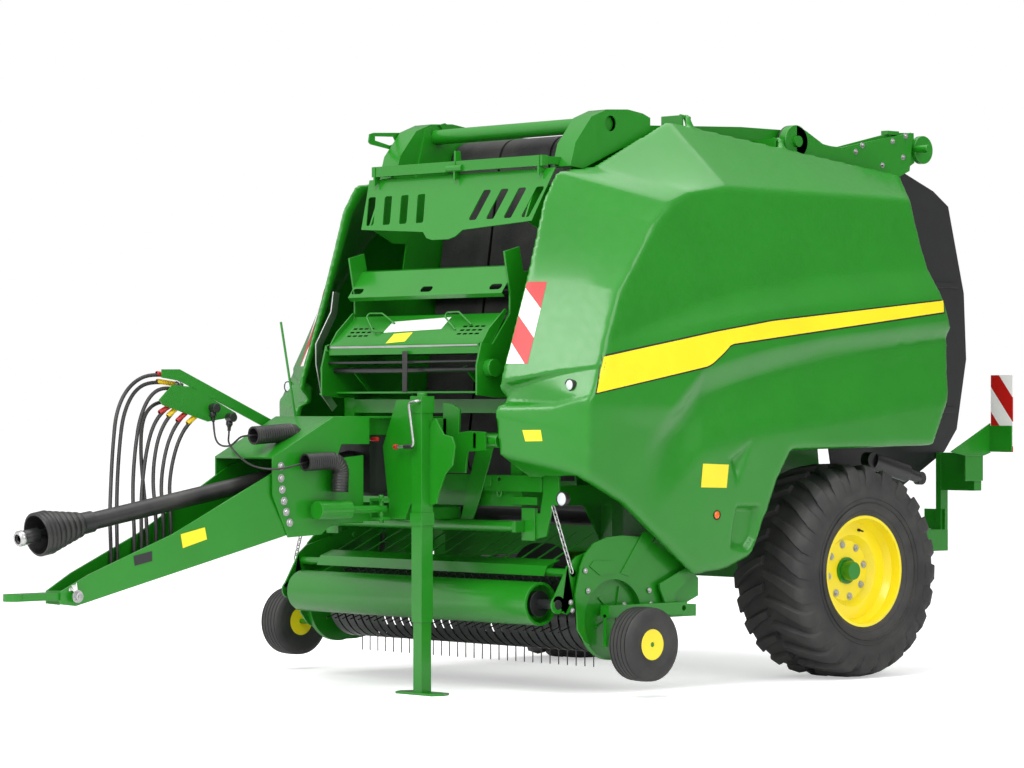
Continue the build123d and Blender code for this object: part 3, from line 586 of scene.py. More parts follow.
STRIPE_TOP = [(-1.871, 1.678), (-1.101, 1.811), (-0.689, 1.872), (0.661, 2.004)]
STRIPE_FOOT = [(-1.937, 1.499), (-1.180, 1.635), (-1.144, 1.648), (-1.050, 1.709), (-0.999, 1.750),
               (0.655, 1.942)]


def stretched(line, out, up):
    """A line of (y, z) points moved up, with its two ends moved outwards."""
    ends = {0: -out, len(line) - 1: out}
    return [(y + ends.get(i, 0.0), z + up) for i, (y, z) in enumerate(line)]


for side, name in SIDES:
    for tag, margin, lift, material in (("edge", 0.008, 0.0008, black), ("film", 0.0, 0.0016, yellow)):
        low, high = stretched(STRIPE_FOOT, margin, -margin), stretched(STRIPE_TOP, margin, margin)
        grid = [[(side * SKIN_DISTANCE, p.x + AXLE_Y, p.y) for p in row]
                for row in between(low, high, 90, 8)]
        drape(f"{name}_stripe_{tag}", panel_skins[name], grid, name + "_panel", material,
              (-side, 0, 0), lift)


# Guard of the drive shaft: a black moulded cone with three thick rings at its mouth and rounded
# bellows down to the neck, on a plain tube. It slips over the shaft and doesn't turn.
PTO_FRONT, PTO_REAR = Vector((0, AXLE_Y - 4.520, 0.812)), Vector((0, AXLE_Y - 2.520, 1.165))
pto_way = (PTO_REAR - PTO_FRONT).normalized()
pto_turn = Vector((1, 0, 0)).rotation_difference(pto_way).to_matrix().to_4x4()
pto_place = Matrix.Translation(PTO_FRONT) @ pto_turn
RINGS, RING_PITCH = 3, 0.024
FOLDS, FOLD_PITCH, FOLD_DROP, FOLD_DEPTH = 5, 0.036, 0.0085, 0.013
# section of the guard: (distance from the front along the shaft, radius)
line = [(0.095, 0.093), (0.095, 0.0995)]
for ring in range(RINGS):
    s = 0.097 + RING_PITCH * ring
    line += [(s, 0.1005), (s + 0.003, 0.1055), (s + 0.015, 0.1055), (s + 0.018, 0.1005),
             (s + 0.022, 0.099)]
for fold in range(FOLDS):
    s, crest = 0.172 + FOLD_PITCH * fold, 0.1015 - FOLD_DROP * fold
    line += [(s + FOLD_PITCH * t, crest - FOLD_DROP * t - FOLD_DEPTH * (1 - sin(pi * t)) ** 2)
             for t in (0.0, 0.12, 0.26, 0.40, 0.50, 0.60, 0.74, 0.88)]
line += [(0.355, 0.0545), (0.365, 0.0525), (0.418, 0.0515), (0.424, 0.0425), (2.047, 0.0425)]
line += [(2.047, 0.0385), (0.380, 0.0385), (0.330, 0.050), (0.110, 0.089)]
guard = revolved(line, 72)
bmesh.ops.transform(guard, matrix=pto_place, verts=guard.verts)
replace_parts(piece("drive_shaft_guard", guard, "frame", moulded, 50), "pto_guard")


# Marker boards at the rear and warning boards on the panels' front: red and white reflective film
# with slanting bars, stuck on sheet at the rear and on the moulding itself in front.
BAR_PITCH, BAR_LEAN = 0.274, 1.25
SHEETING_CELL_MM = 4.55
BOARD_IN, BOARD_WIDTH, BOARD_TAPER = 0.792, 0.097, 0.020        # the front boards narrow upwards
BOARD_FOOT, BOARD_HEIGHT = 1.645, 0.41


def barred(name, colour_a, colour_b, lean):
    """Reflective film with slanting bars of two colours and the fine cells of the sheeting."""
    film, tree = new_material(name)
    place = add(tree, "ShaderNodeTexCoord").outputs["Object"]
    parts = add(tree, "ShaderNodeSeparateXYZ", (), {0: place}).outputs
    wide = add(tree, "ShaderNodeMath", {"operation": "MULTIPLY"}, {0: parts[0], 1: lean})
    slant = add(tree, "ShaderNodeMath", {"operation": "ADD"}, {0: wide.outputs[0], 1: parts[2]})
    turns = add(tree, "ShaderNodeMath", {"operation": "DIVIDE"}, {0: slant.outputs[0], 1: BAR_PITCH})
    share = add(tree, "ShaderNodeMath", {"operation": "FRACT"}, {0: turns.outputs[0]})
    bar = add(tree, "ShaderNodeMath", {"operation": "GREATER_THAN"}, {0: share.outputs[0], 1: 0.5})
    tone = add(tree, "ShaderNodeMix", {"data_type": "RGBA"},
               {"Factor": bar.outputs[0], 6: linear(colour_a), 7: linear(colour_b)})
    cells = add(tree, "ShaderNodeTexVoronoi", {"feature": "DISTANCE_TO_EDGE"},
                {"Vector": place, "Scale": 1000.0 / SHEETING_CELL_MM})
    skin = add(tree, "ShaderNodeBump", (),
               {"Height": cells.outputs["Distance"], "Strength": 0.15, "Distance": 0.0003})
    shader = add(tree, "ShaderNodeBsdfPrincipled", (),
                 {"Base Color": tone.outputs[2], "Roughness": 0.35, "Normal": skin.outputs["Normal"],
                  "IOR": 1.5})
    add(tree, "ShaderNodeOutputMaterial", (), {"Surface": shader.outputs[0]})
    return film


for side, name, title in ((1, "left", "red_white_film"), (-1, "right", "red_white_film_mirrored")):
    film = barred(title, "#B81814", "#ECEAE8", side * BAR_LEAN)
    slots = nodes[name + "_marker_board"].data.materials
    slots.clear()
    slots.append(film)
    grid = [[(side * (BOARD_IN + (BOARD_WIDTH - BOARD_TAPER * up) * across), AXLE_Y - 2.30,
              BOARD_FOOT + BOARD_HEIGHT * up) for across in (i / 6 for i in range(7))]
            for up in (j / 16 for j in range(17))]
    drape(name + "_front_board", panel_skins[name], grid, name + "_panel", film, (0, 1, 0), 0.002)


# Lamps and side reflectors: a short black moulded housing with a rolled rim, and a domed lens of
# clear or coloured plastic pressed into it.
PRISM_MM = 5.56


def lens_glass(name, colour):
    """Moulded lens: coloured clear plastic with fine prisms pressed in its face."""
    matter, tree = new_material(name)
    place = add(tree, "ShaderNodeTexCoord").outputs["Object"]
    prisms = add(tree, "ShaderNodeTexVoronoi", (), {"Vector": place, "Scale": 1000.0 / PRISM_MM})
    skin = add(tree, "ShaderNodeBump", (),
               {"Height": prisms.outputs["Distance"], "Strength": 0.4, "Distance": 0.001})
    shader = add(tree, "ShaderNodeBsdfPrincipled", (),
                 {"Base Color": linear(colour), "Roughness": 0.12, "Normal": skin.outputs["Normal"],
                  "IOR": 1.49, "Coat Weight": 0.6, "Coat Roughness": 0.05})
    add(tree, "ShaderNodeOutputMaterial", (), {"Surface": shader.outputs[0]})
    return matter


clear_lens = lens_glass("clear_lens", "#DDE3E6")
amber_lens = lens_glass("amber_lens", "#E8690A")


def round_lamp(name, centre, facing, diameter, body, glass):
    """Round lamp on a surface: housing with a rolled rim, and its domed lens."""
    r = diameter / 2
    place = Matrix.Translation(centre) @ Vector((1, 0, 0)).rotation_difference(Vector(facing)) \
        .to_matrix().to_4x4()
    rim = revolved([(-0.020, r * 0.82), (0.004, r * 0.96), (0.010, r), (0.014, r * 0.98),
                    (0.015, r * 0.90), (0.009, r * 0.86), (-0.018, r * 0.78)], 48)
    bmesh.ops.transform(rim, matrix=place, verts=rim.verts)
    piece(name + "_housing", rim, body, moulded, 60)
    dome = revolved([(0.0, 0.001), (0.0, r * 0.86), (0.010, r * 0.88), (0.0135, r * 0.70),
                     (0.0165, r * 0.40), (0.018, 0.001)], 48)
    bmesh.ops.transform(dome, matrix=place, verts=dome.verts)
    piece(name + "_lens", dome, body, glass, 60)


for side, name in SIDES:
    skin = panel_skins[name]
    panel = name + "_panel"
    round_lamp(name + "_front_lamp", (side * 1.026, AXLE_Y - 1.989, 0.975), (0, -1, 0), 0.075,
               "frame", clear_lens)
    spot = skin.ray_cast(Vector((side * 1.099, AXLE_Y - 3.0, 1.539)), Vector((0, 1, 0)))[0]
    round_lamp(name + "_panel_lamp", spot, (0, -1, 0), 0.060, panel, clear_lens)
    spot = skin.ray_cast(Vector((side * SKIN_DISTANCE, AXLE_Y - 1.082, 0.882)),
                         Vector((-side, 0, 0)))[0]
    round_lamp(name + "_reflector", spot - Vector((side * 0.010, 0, 0)), (side, 0, 0), 0.050, panel,
               amber_lens)


# Coil springs that carry part of the pickup's weight: black spring steel wire, wound close, each
# end led to the middle of the coil.
SPRING_D, SPRING_WIRE, COILS = 0.036, 0.006, 14
STEPS_PER_COIL = 12
SPRING_TAIL = 0.16          # share of the length at each end that isn't wound
STRAIGHT = 0.8              # share of a tail that runs down the middle of the coil


def round_line(name, route, thickness, steps, roundness):
    """Curve object of one thickness through the control points of a route."""
    curve = bpy.data.curves.new(name, "CURVE")
    curve.dimensions = "3D"
    spline = curve.splines.new("NURBS")
    spline.points.add(len(route) - 1)
    for point, place in zip(spline.points, route):
        point.co = (*place, 1.0)
    spline.order_u = 3
    spline.use_endpoint_u = True
    spline.resolution_u = steps
    curve.bevel_depth = thickness / 2
    curve.bevel_resolution = roundness
    curve.use_fill_caps = True
    line = bpy.data.objects.new(name, curve)
    bpy.context.scene.collection.objects.link(line)
    return line


for side, name in SIDES:
    top = Vector((side * 1.050, AXLE_Y - 1.377, 0.776))
    foot = Vector((side * 1.050, AXLE_Y - 1.405, 0.567))
    way = (foot - top).normalized()
    across = way.orthogonal().normalized()
    other = way.cross(across)
    tail = SPRING_TAIL * (foot - top).length
    wound = (foot - top).length - 2 * tail
    steps = COILS * STEPS_PER_COIL
    route = [top, top + way * tail * STRAIGHT]
    for i in range(steps + 1):
        turn = 2 * pi * i / STEPS_PER_COIL
        ring = (across * cos(turn) + other * sin(turn)) * (SPRING_D - SPRING_WIRE) / 2
        route.append(top + way * (tail + wound * i / steps) + ring)
    route += [foot - way * tail * STRAIGHT, foot]
    coil = round_line(name + "_pickup_spring_line", route, SPRING_WIRE, 3, 2)
    mesh = bpy.data.meshes.new_from_object(coil)
    bpy.data.objects.remove(coil)
    piece(name + "_pickup_spring", mesh, "frame", black, 180)


# Drive shaft: its yoke is painted black, and a bright zinc-plated locking collar sits round the
# yoke's open end.
slots = nodes["pto_shaft"].data.materials
slots.clear()
slots.append(black)
collar = revolved([(-0.001, 0.024), (-0.001, 0.033), (0.006, 0.038), (0.026, 0.038), (0.032, 0.034),
                   (0.032, 0.029), (0.004, 0.024)], 48)
bmesh.ops.transform(collar, matrix=pto_place @ Matrix.Translation((-0.012, 0, 0)), verts=collar.verts)
piece("shaft_collar", collar, "pto_shaft", zinc, 50)


# Plates, bars and turned pieces of the steelwork are drawn in millimetres from the axle, as on a
# workshop drawing: closed shells that are added to each other, or cut by each other.
cut_host = bpy.data.objects.new("cut_host", bpy.data.meshes.new("cut_host"))
cut_tool = bpy.data.objects.new("cut_tool", bpy.data.meshes.new("cut_tool"))
for helper in (cut_host, cut_tool):
    bpy.context.scene.collection.objects.link(helper)
cutter = cut_host.modifiers.new("cut", "BOOLEAN")
cutter.object = cut_tool
cutter.solver = "EXACT"


def shell_mesh(shell):
    """Mesh with outward faces from one shell, a list of points and a list of faces."""
    mesh = bpy.data.meshes.new("shell")
    mesh.from_pydata(shell[0], [], shell[1])
    form = bmesh.new()
    form.from_mesh(mesh)
    bmesh.ops.remove_doubles(form, verts=form.verts, dist=0.001)
    bmesh.ops.recalc_face_normals(form, faces=form.faces)
    form.to_mesh(mesh)
    form.free()
    return mesh


def cut(shell, tool, operation):
    """Boolean of two shells, as a new shell."""
    cut_host.data, cut_tool.data = shell_mesh(shell), shell_mesh(tool)
    cutter.operation = operation
    bpy.context.view_layer.update()
    mesh = cut_host.evaluated_get(bpy.context.evaluated_depsgraph_get()).to_mesh()
    result = ([vertex.co.copy() for vertex in mesh.vertices], [tuple(f.vertices) for f in mesh.polygons])
    for done in (cut_host, cut_tool):
        used, done.data = done.data, bpy.data.meshes.new("empty")
        bpy.data.meshes.remove(used)
    return result


def span(shell, axis):
    """Lowest and highest coordinate of a shell along an axis."""
    values = [point[axis] for point in shell[0]]
    return min(values), max(values)


def apart(shell, tool):
    """Whether two shells lie clear of each other's boxes."""
    spans = [(span(shell, axis), span(tool, axis)) for axis in range(3)]
    return any(a[0] >= b[1] or b[0] >= a[1] for a, b in spans)


class Solid:
    """Shells that make one welded piece."""

    def __init__(self, shells):
        self.shells = shells

    def __add__(self, other):
        if isinstance(other, list):
            return Solid(self.shells + [shell for one in other for shell in one.shells])
        return Solid(self.shells + other.shells)

    def __sub__(self, other):
        kept = []
        for shell in self.shells:
            for tool in other.shells:
                if shell[0] and not apart(shell, tool):
                    shell = cut(shell, tool, "DIFFERENCE")
            if shell[1]:
                kept.append(shell)
        return Solid(kept)

    def __and__(self, other):
        return Solid([cut(shell, tool, "INTERSECT") for shell in self.shells for tool in other.shells])


def prism(outline, at, low, high):
    """Closed outline drawn out between two levels; at(u, v, level) gives a point in space."""
    count = len(outline)
    points = [Vector(at(u, v, low)) for u, v in outline] + [Vector(at(u, v, high)) for u, v in outline]
    faces = [tuple(range(count))[::-1], tuple(range(count, 2 * count))]
    faces += [(i, (i + 1) % count, (i + 1) % count + count, i + count) for i in range(count)]
    return Solid([(points, faces)])


def block(x, y, z):
    """Box between three spans."""
    return prism([(x[0], y[0]), (x[1], y[0]), (x[1], y[1]), (x[0], y[1])],
                 lambda u, v, level: (u, v, level), z[0], z[1])


def cheek(points, x0, x1):
    """Plate seen from the side: points are (Y, Z) and its thickness runs from x0 to x1."""
    return prism(points, lambda u, v, level: (level, u, v), x0, x1)


def front_plate(points, y0, y1):
    """Plate seen from the front: points are (X, Z) and its thickness runs from y0 to y1."""
    return prism(points, lambda u, v, level: (u, level, v), y0, y1)


def flat_plate(points, z0, z1):
    """Plate seen from above: points are (X, Y) and its thickness runs from z0 to z1."""
    return prism(points, lambda u, v, level: (u, v, level), z0, z1)


def folded(points, wall):
    """Outline of a folded sheet: an open line of points and its copy moved left by the wall."""
    sides = []
    for (a0, b0), (a1, b1) in zip(points, points[1:]):
        length = hypot(a1 - a0, b1 - b0)
        sides.append(((b0 - b1) / length, (a1 - a0) / length))
    moved = []
    for (a, b), before, after in zip(points, sides[:1] + sides, sides + sides[-1:]):
        share = wall / (1 + before[0] * after[0] + before[1] * after[1])
        moved.append((a + (before[0] + after[0]) * share, b + (before[1] + after[1]) * share))
    return list(points) + moved[::-1]


def lathe(profile, start, way):
    """Closed profile of (distance along, radius) turned about a line from start along way."""
    start, way = Vector(start), Vector(way).normalized()
    across = way.orthogonal().normalized()
    other = way.cross(across)
    widest = max(r for s, r in profile)
    sides = max(16, min(72, int(widest / 2) * 2 + 12))
    points, faces = [], []
    for i in range(sides):
        spoke = across * cos(2 * pi * i / sides) + other * sin(2 * pi * i / sides)
        points += [start + way * s + spoke * r for s, r in profile]
    count = len(profile)
    for i in range(sides):
        a, b = i * count, (i + 1) % sides * count
        faces += [(a + j, a + (j + 1) % count, b + (j + 1) % count, b + j) for j in range(count)
                  if profile[j][1] > 0 or profile[(j + 1) % count][1] > 0]
    return Solid([(points, faces)])


def rod(start, end, diameter):
    """Round bar between two points, its ends a little rounded."""
    a, b = Vector(start), Vector(end)
    length, r = (b - a).length, diameter / 2
    edge = min(1.5, r * 0.2)
    return lathe([(0, 0), (0, r - edge), (edge, r), (length - edge, r), (length, r - edge), (length, 0)],
                 a, b - a)


def disc(y, z, diameter, x0, x1):
    """Round bar along X."""
    return rod((x0, y, z), (x1, y, z), diameter)


def tube(start, end, diameter, wall):
    """Round tube between two points, open at its ends."""
    a, b = Vector(start), Vector(end)
    length = (b - a).length
    return lathe([(0, diameter / 2 - wall), (0, diameter / 2), (length, diameter / 2),
                  (length, diameter / 2 - wall)], a, b - a)


def rounded_route(points, radii):
    """Points of straight runs joined by arcs of the given radii."""
    corners = [Vector(p) for p in points]
    route = [corners[0]]
    for before, corner, after, radius in zip(corners, corners[1:], corners[2:], radii):
        a, b = (before - corner).normalized(), (after - corner).normalized()
        half = a.angle(b) / 2
        middle = corner + (a + b).normalized() * radius / sin(half)
        first = corner + a * radius / tan(half)
        last = corner + b * radius / tan(half)
        steps = max(2, int((pi - 2 * half) / 0.2))
        for i in range(steps + 1):
            spoke = (first - middle).lerp(last - middle, i / steps).normalized()
            route.append(middle + spoke * radius)
    return route + [corners[-1]]


def swept(route, ring):
    """Closed ring of (u, v) points carried along a route without twist, its ends closed."""
    way = (route[1] - route[0]).normalized()
    across = way.orthogonal().normalized()
    points = []
    for i, place in enumerate(route):
        before = (place - route[i - 1]).normalized() if i else way
        after = (route[i + 1] - place).normalized() if i + 1 < len(route) else before
        middle = (before + after).normalized()
        across = (across - middle * across.dot(middle)).normalized()
        other = middle.cross(across)
        points += [place + across * u + other * v for u, v in ring]
    count = len(ring)
    faces = [tuple(range(count))[::-1], tuple(range(len(points) - count, len(points)))]
    for i in range(len(route) - 1):
        a = i * count
        faces += [(a + j, a + (j + 1) % count, a + count + (j + 1) % count, a + count + j)
                  for j in range(count)]
    return Solid([(points, faces)])


def circle(diameter, sides=16):
    """Points of a circle about the origin."""
    return [(diameter / 2 * cos(2 * pi * i / sides), diameter / 2 * sin(2 * pi * i / sides))
            for i in range(sides)]


def bent_rod(points, diameter, radii):
    """Round bar along straight runs joined by arcs."""
    return swept(rounded_route(points, radii), circle(diameter))


def beam(start, end, width, height, up):
    """Rectangular bar between two points, its height towards up."""
    a, b = Vector(start), Vector(end)
    along = (b - a).normalized()
    across = Vector(up).cross(along).normalized()
    other = along.cross(across)
    return prism([(-width / 2, -height / 2), (width / 2, -height / 2), (width / 2, height / 2),
                  (-width / 2, height / 2)],
                 lambda u, v, level: a + across * u + other * v + along * level, 0, (b - a).length)


def symmetric(solid):
    """A piece and its mirror image on the other side of the machine."""
    return solid + Solid([([Vector((-x, y, z)) for x, y, z in points], faces)
                          for points, faces in solid.shells])


def welded(name, solid, body, slot_name, material, *stands_for):
    """Finished piece from a solid, its edges dressed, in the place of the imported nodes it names."""
    whole = bmesh.new()
    for shell in solid.shells:
        mesh = shell_mesh(shell)
        whole.from_mesh(mesh)
        bpy.data.meshes.remove(mesh)
    bmesh.ops.dissolve_degenerate(whole, edges=whole.edges, dist=0.01)
    for vertex in whole.verts:
        x, y, z = vertex.co
        vertex.co = (x / 1000, y / 1000 + AXLE_Y, z / 1000)
    mesh = bpy.data.meshes.new(name)
    whole.to_mesh(mesh)
    whole.free()
    obj = piece(name, mesh, body, material, 35)
    dressed(obj, 0.0016, 35)
    if stands_for:
        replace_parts(obj, *stands_for)
    return obj


# Front cross members: flame-cut plate and drawn tube, welded together, painted green and bolted to
# the sills ahead of the chamber.
FRONT_Y = -1960.0           # front face of the front beams
CHAMBER_HALF = 600.0        # half of the inside width
SKIN = 12.0                 # side plates of the chamber and tailgate
SILL_IN = CHAMBER_HALF + SKIN
SILL_W = 80.0
SILL_OUT = SILL_IN + SILL_W
FLAT_BAR = 12.0             # thickness of the flat bar and of the plates at its ends


def front_members():
    """Cross tube, drilled flat bar, cranked end plates and a strut ahead of the main frame."""
    y = FRONT_Y
    ear = [(850, 1097), (976, 1097), (980, 942), (927, 942), (883, 785), (812, 771), (812, 900),
           (839, 900), (862, 1006)]
    tube_plate = [(716, 762), (812, 762), (812, 925), (716, 925)]
    bar = block((98, 862), (y - 2 * FLAT_BAR, y - FLAT_BAR), (1006, 1087))
    for x, z, d in ((395, 1055, 40), (548, 1066, 24)):
        bar -= rod((x, y - 30, z), (x, y - 6, z), d)
    far_bar = block((-862, -SILL_IN), (y - 2 * FLAT_BAR, y - FLAT_BAR), (1006, 1087))
    hook = lathe([(u, 16 + v) for u, v in circle(10)], (545, y - 18, 996), (0, 1, 0))
    ends = front_plate(ear, y - FLAT_BAR, y) \
        + front_plate(tube_plate, y - 2 * FLAT_BAR, y - FLAT_BAR) \
        + block((SILL_OUT - 60, 812), (y - FLAT_BAR, y), (940, 980)) \
        + block((716, 812), (y - FLAT_BAR, y), (765, 925))
    cross_tube = tube((-716, y - 60, 832), (716, y - 60, 832), 56, 5)
    sleeve = block((716, 740), (y - 88, y - 24), (804, 860))
    strut = front_plate([(260, 812), (346, 812), (424, 977), (534, 1257), (391, 1212)], y - 40, y - 32)
    feet = block((270, 340), (y - 40, y - 24), (812, 860)) \
        + block((400, 500), (y - 36, y - 20), (1030, 1085))
    whole = symmetric(ends + sleeve) + bar + far_bar + hook + cross_tube + strut + feet
    welded("front_cross_members", whole, "frame", "green", green, "front_members")


front_members()


# Horns of the roof: box sections folded from plate, one each side, that carry the top tube. They
# stand on the chamber's side plates.
TOP_TUBE_Y, TOP_TUBE_Z, TOP_TUBE_D = -1390.0, 2880.0, 80.0


def roof_horn():
    """Box section that carries the top tube and the guard beside the chamber's front."""
    outer_side, wall = 745, 8
    outline = [(-1674, 2651), (-1640, 2770), (-1527, 2908), (-1420, 2950), (-1268, 2958), (-1160, 2943),
               (-1106, 2923), (-1106, 2821), (-1330, 2750), (-1586, 2640)]
    hollow = [(-1630, 2690), (-1598, 2770), (-1500, 2880), (-1400, 2918), (-1240, 2926),
              (-1130, 2905), (-1130, 2845), (-1340, 2775), (-1570, 2670)]
    horn = cheek(outline, SILL_IN, outer_side) - disc(TOP_TUBE_Y, TOP_TUBE_Z, TOP_TUBE_D, 600, 750)
    return horn - cheek(hollow, SILL_IN + wall, outer_side - wall)


welded("roof_horns", symmetric(roof_horn()), "frame", "green", green)


# Drawbar: two tapering plates with a floor between them, and the headstock they are bolted to. All
# of it is flame-cut steel plate, welded and painted green.
DRAWBAR_TIP_HALF = 62.0
DRAWBAR_HALF = 220.0        # half width at the headstock
EYE_PIN_Y, EYE_PIN_Z, TOW_PIN_D = -4260.0, 537.0, 30.0
PLATE = 10.0                # brackets and cheeks


def drawbar():
    """The fork with its floor and tow pin, and the headstock with its rails and cylinder."""
    # plan outline of the tapering fork, (X, Y)
    rear, shoulder, tip = -2600.0, -3120.0, -4330.0
    t = SKIN
    outer = [(DRAWBAR_TIP_HALF, tip), (DRAWBAR_HALF, shoulder), (DRAWBAR_HALF, rear),
             (-DRAWBAR_HALF, rear), (-DRAWBAR_HALF, shoulder), (-DRAWBAR_TIP_HALF, tip)]
    inner = [(DRAWBAR_TIP_HALF - t, tip - 1), (DRAWBAR_HALF - t, shoulder), (DRAWBAR_HALF - t, rear + 1),
             (-DRAWBAR_HALF + t, rear + 1), (-DRAWBAR_HALF + t, shoulder),
             (-DRAWBAR_TIP_HALF + t, tip - 1)]
    walls = flat_plate(outer, 400, 1500) - flat_plate(inner, 400, 1500)
    side = [(-4330, 500), (-4250, 490), (-3075, 806), (-2880, 850), (-2600, 850), (-2600, 1190),
            (-3100, 1145), (-3733, 817), (-4176, 639), (-4330, 560)]
    fork = walls & cheek(side, -400, 400)
    floor_side = [(-4200, 500), (-3075, 806), (-2700, 850), (-2700, 862), (-3078, 818), (-4200, 512)]
    floor = flat_plate(inner, 400, 1500) & cheek(floor_side, -400, 400)
    fork = fork + floor + disc(EYE_PIN_Y, EYE_PIN_Z, TOW_PIN_D, -100, 100)
    welded("drawbar_fork", fork, "frame", "green", green, "drawbar")

    # headstock: side plates with a sloping cover between them, and rails back to the front beams
    plate = cheek([(-3187, 1000), (-3187, 1185), (-2799, 1383), (-2570, 1383), (-2570, 1245),
                   (-2751, 1245), (-2812, 1111), (-2812, 850), (-2880, 800), (-3090, 790)],
                  DRAWBAR_HALF, DRAWBAR_HALF + PLATE)
    cover = cheek(folded([(-3187, 1175), (-2799, 1373), (FRONT_Y, 1373)], PLATE),
                  -DRAWBAR_HALF, DRAWBAR_HALF)
    web = block((-DRAWBAR_HALF, DRAWBAR_HALF), (-2580, -2560), (1250, 1373))
    upper = block((150, 160), (-2570, FRONT_Y), (1290, 1373))
    rail = block((DRAWBAR_HALF, DRAWBAR_HALF + 12), (-2900, FRONT_Y), (860, 920)) \
        + block((150, DRAWBAR_HALF), (-2590, FRONT_Y), (860, 870))
    # lugs for the rod of the drop-floor cylinder, and the cylinder itself beside the fork
    lug = block((232, 330), (-2570, -2520), (868, 880)) \
        + block((232, 330), (-2570, -2520), (962, 974)) \
        + block((232, 244), (-2570, -2520), (880, 962)) + rod((292, -2545, 850), (292, -2545, 992), 26)
    cylinder = rod((292, -2960, 922), (292, -2755, 922), 92) \
        + rod((292, -2755, 922), (292, -2520, 922), 38) \
        + block((230, 260), (-2950, -2900), (890, 950))
    bracket = front_plate([(374, 1452), (439, 1444), (498, 1418), (491, 1301), (569, 1310), (690, 1306),
                           (690, 1215), (556, 1207), (540, 1100), (374, 1100)], -2206, -2194) \
        + block((600, SILL_IN + PLATE), (-2206, FRONT_Y), (1225, 1300)) \
        + disc(-2150, 1262, 70, 560, 745) + block((540, 620), (-2194, -2110), (1230, 1290))
    bridge = block((150, 400), (-2206, -2194), (1290, 1373))
    head = symmetric(plate + rail + upper) + cover + web + lug + cylinder + bracket + bridge
    welded("drawbar_headstock", head, "frame", "green", green, "headstock")


drawbar()


# Jack: square steel tube on a shaped mounting plate, with a guard plate for the drive beside it.
# Tube and plates are welded together; the leg slides inside.
JACK_X, JACK_Y = 460.0, -2420.0
JACK_TUBE = 76.0
JACK_FOOT_Z, JACK_TOP_Z = 360.0, 1400.0
JACK_WALL = 6.0


def jack():
    """Outer tube with its collars and cap, open below, and the two plates at its sides."""
    x, y, w = JACK_X, JACK_Y, JACK_TUBE / 2
    collar = w + 5
    outer = block((x - w, x + w), (y - w, y + w), (JACK_FOOT_Z, JACK_TOP_Z + 60)) \
        + block((x - collar, x + collar), (y - collar, y + collar), (840, 905)) \
        + block((x - collar, x + collar), (y - collar, y + collar), (1400, 1484)) \
        + rod((x, y, 1480), (x, y, 1500), 50)
    hole = w - JACK_WALL
    bore = block((x - hole, x + hole), (y - hole, y + hole), (JACK_FOOT_Z - 10, JACK_TOP_Z + 40))
    # mounting plate towards the drawbar, and the guard plate on the other side
    mount = front_plate([(294, 1465), (188, 1231), (241, 886), (254, 872), (360, 872), (x - w + 2, 984),
                         (x - w + 2, 1465)], y - 26, y - 18)
    guard = front_plate([(x + w - 2, 1320), (510, 1353), (542, 1371), (601, 1294), (665, 1282),
                         (684, 1235), (665, 1141), (613, 1098), (555, 986), (549, 952),
                         (x + w - 2, 940)], y + 16, y + 26)
    welded("jack_outer_tube", outer - bore + mount + guard, "frame", "green", green, "jack_housing")


jack()


# Pickup sides: plates with a dished cam housing, the gauge wheels' arms and their stub axles. They
# are cut and pressed from sheet steel, welded, and hang on the pickup's pivot.
PICKUP_HALF = 1075.0        # to the inner face of its side plates
CAM = (-1700.0, 372.0)      # middle of the round opening in the side plates
PICKUP_PIVOT_Y, PICKUP_PIVOT_Z = -1180.0, 520.0
PICKUP_PIVOT_D = 90.0
RUN = 0.3                   # gap between a pin or shaft and what turns on it
CAM_R = 200.0
REEL_Y, REEL_Z = -1660.0, 385.0
REEL_SHAFT_D = 60.0
GAUGE_AXLE_D = 25.0
WINDGUARD_Y, WINDGUARD_Z = -1600.0, 735.0


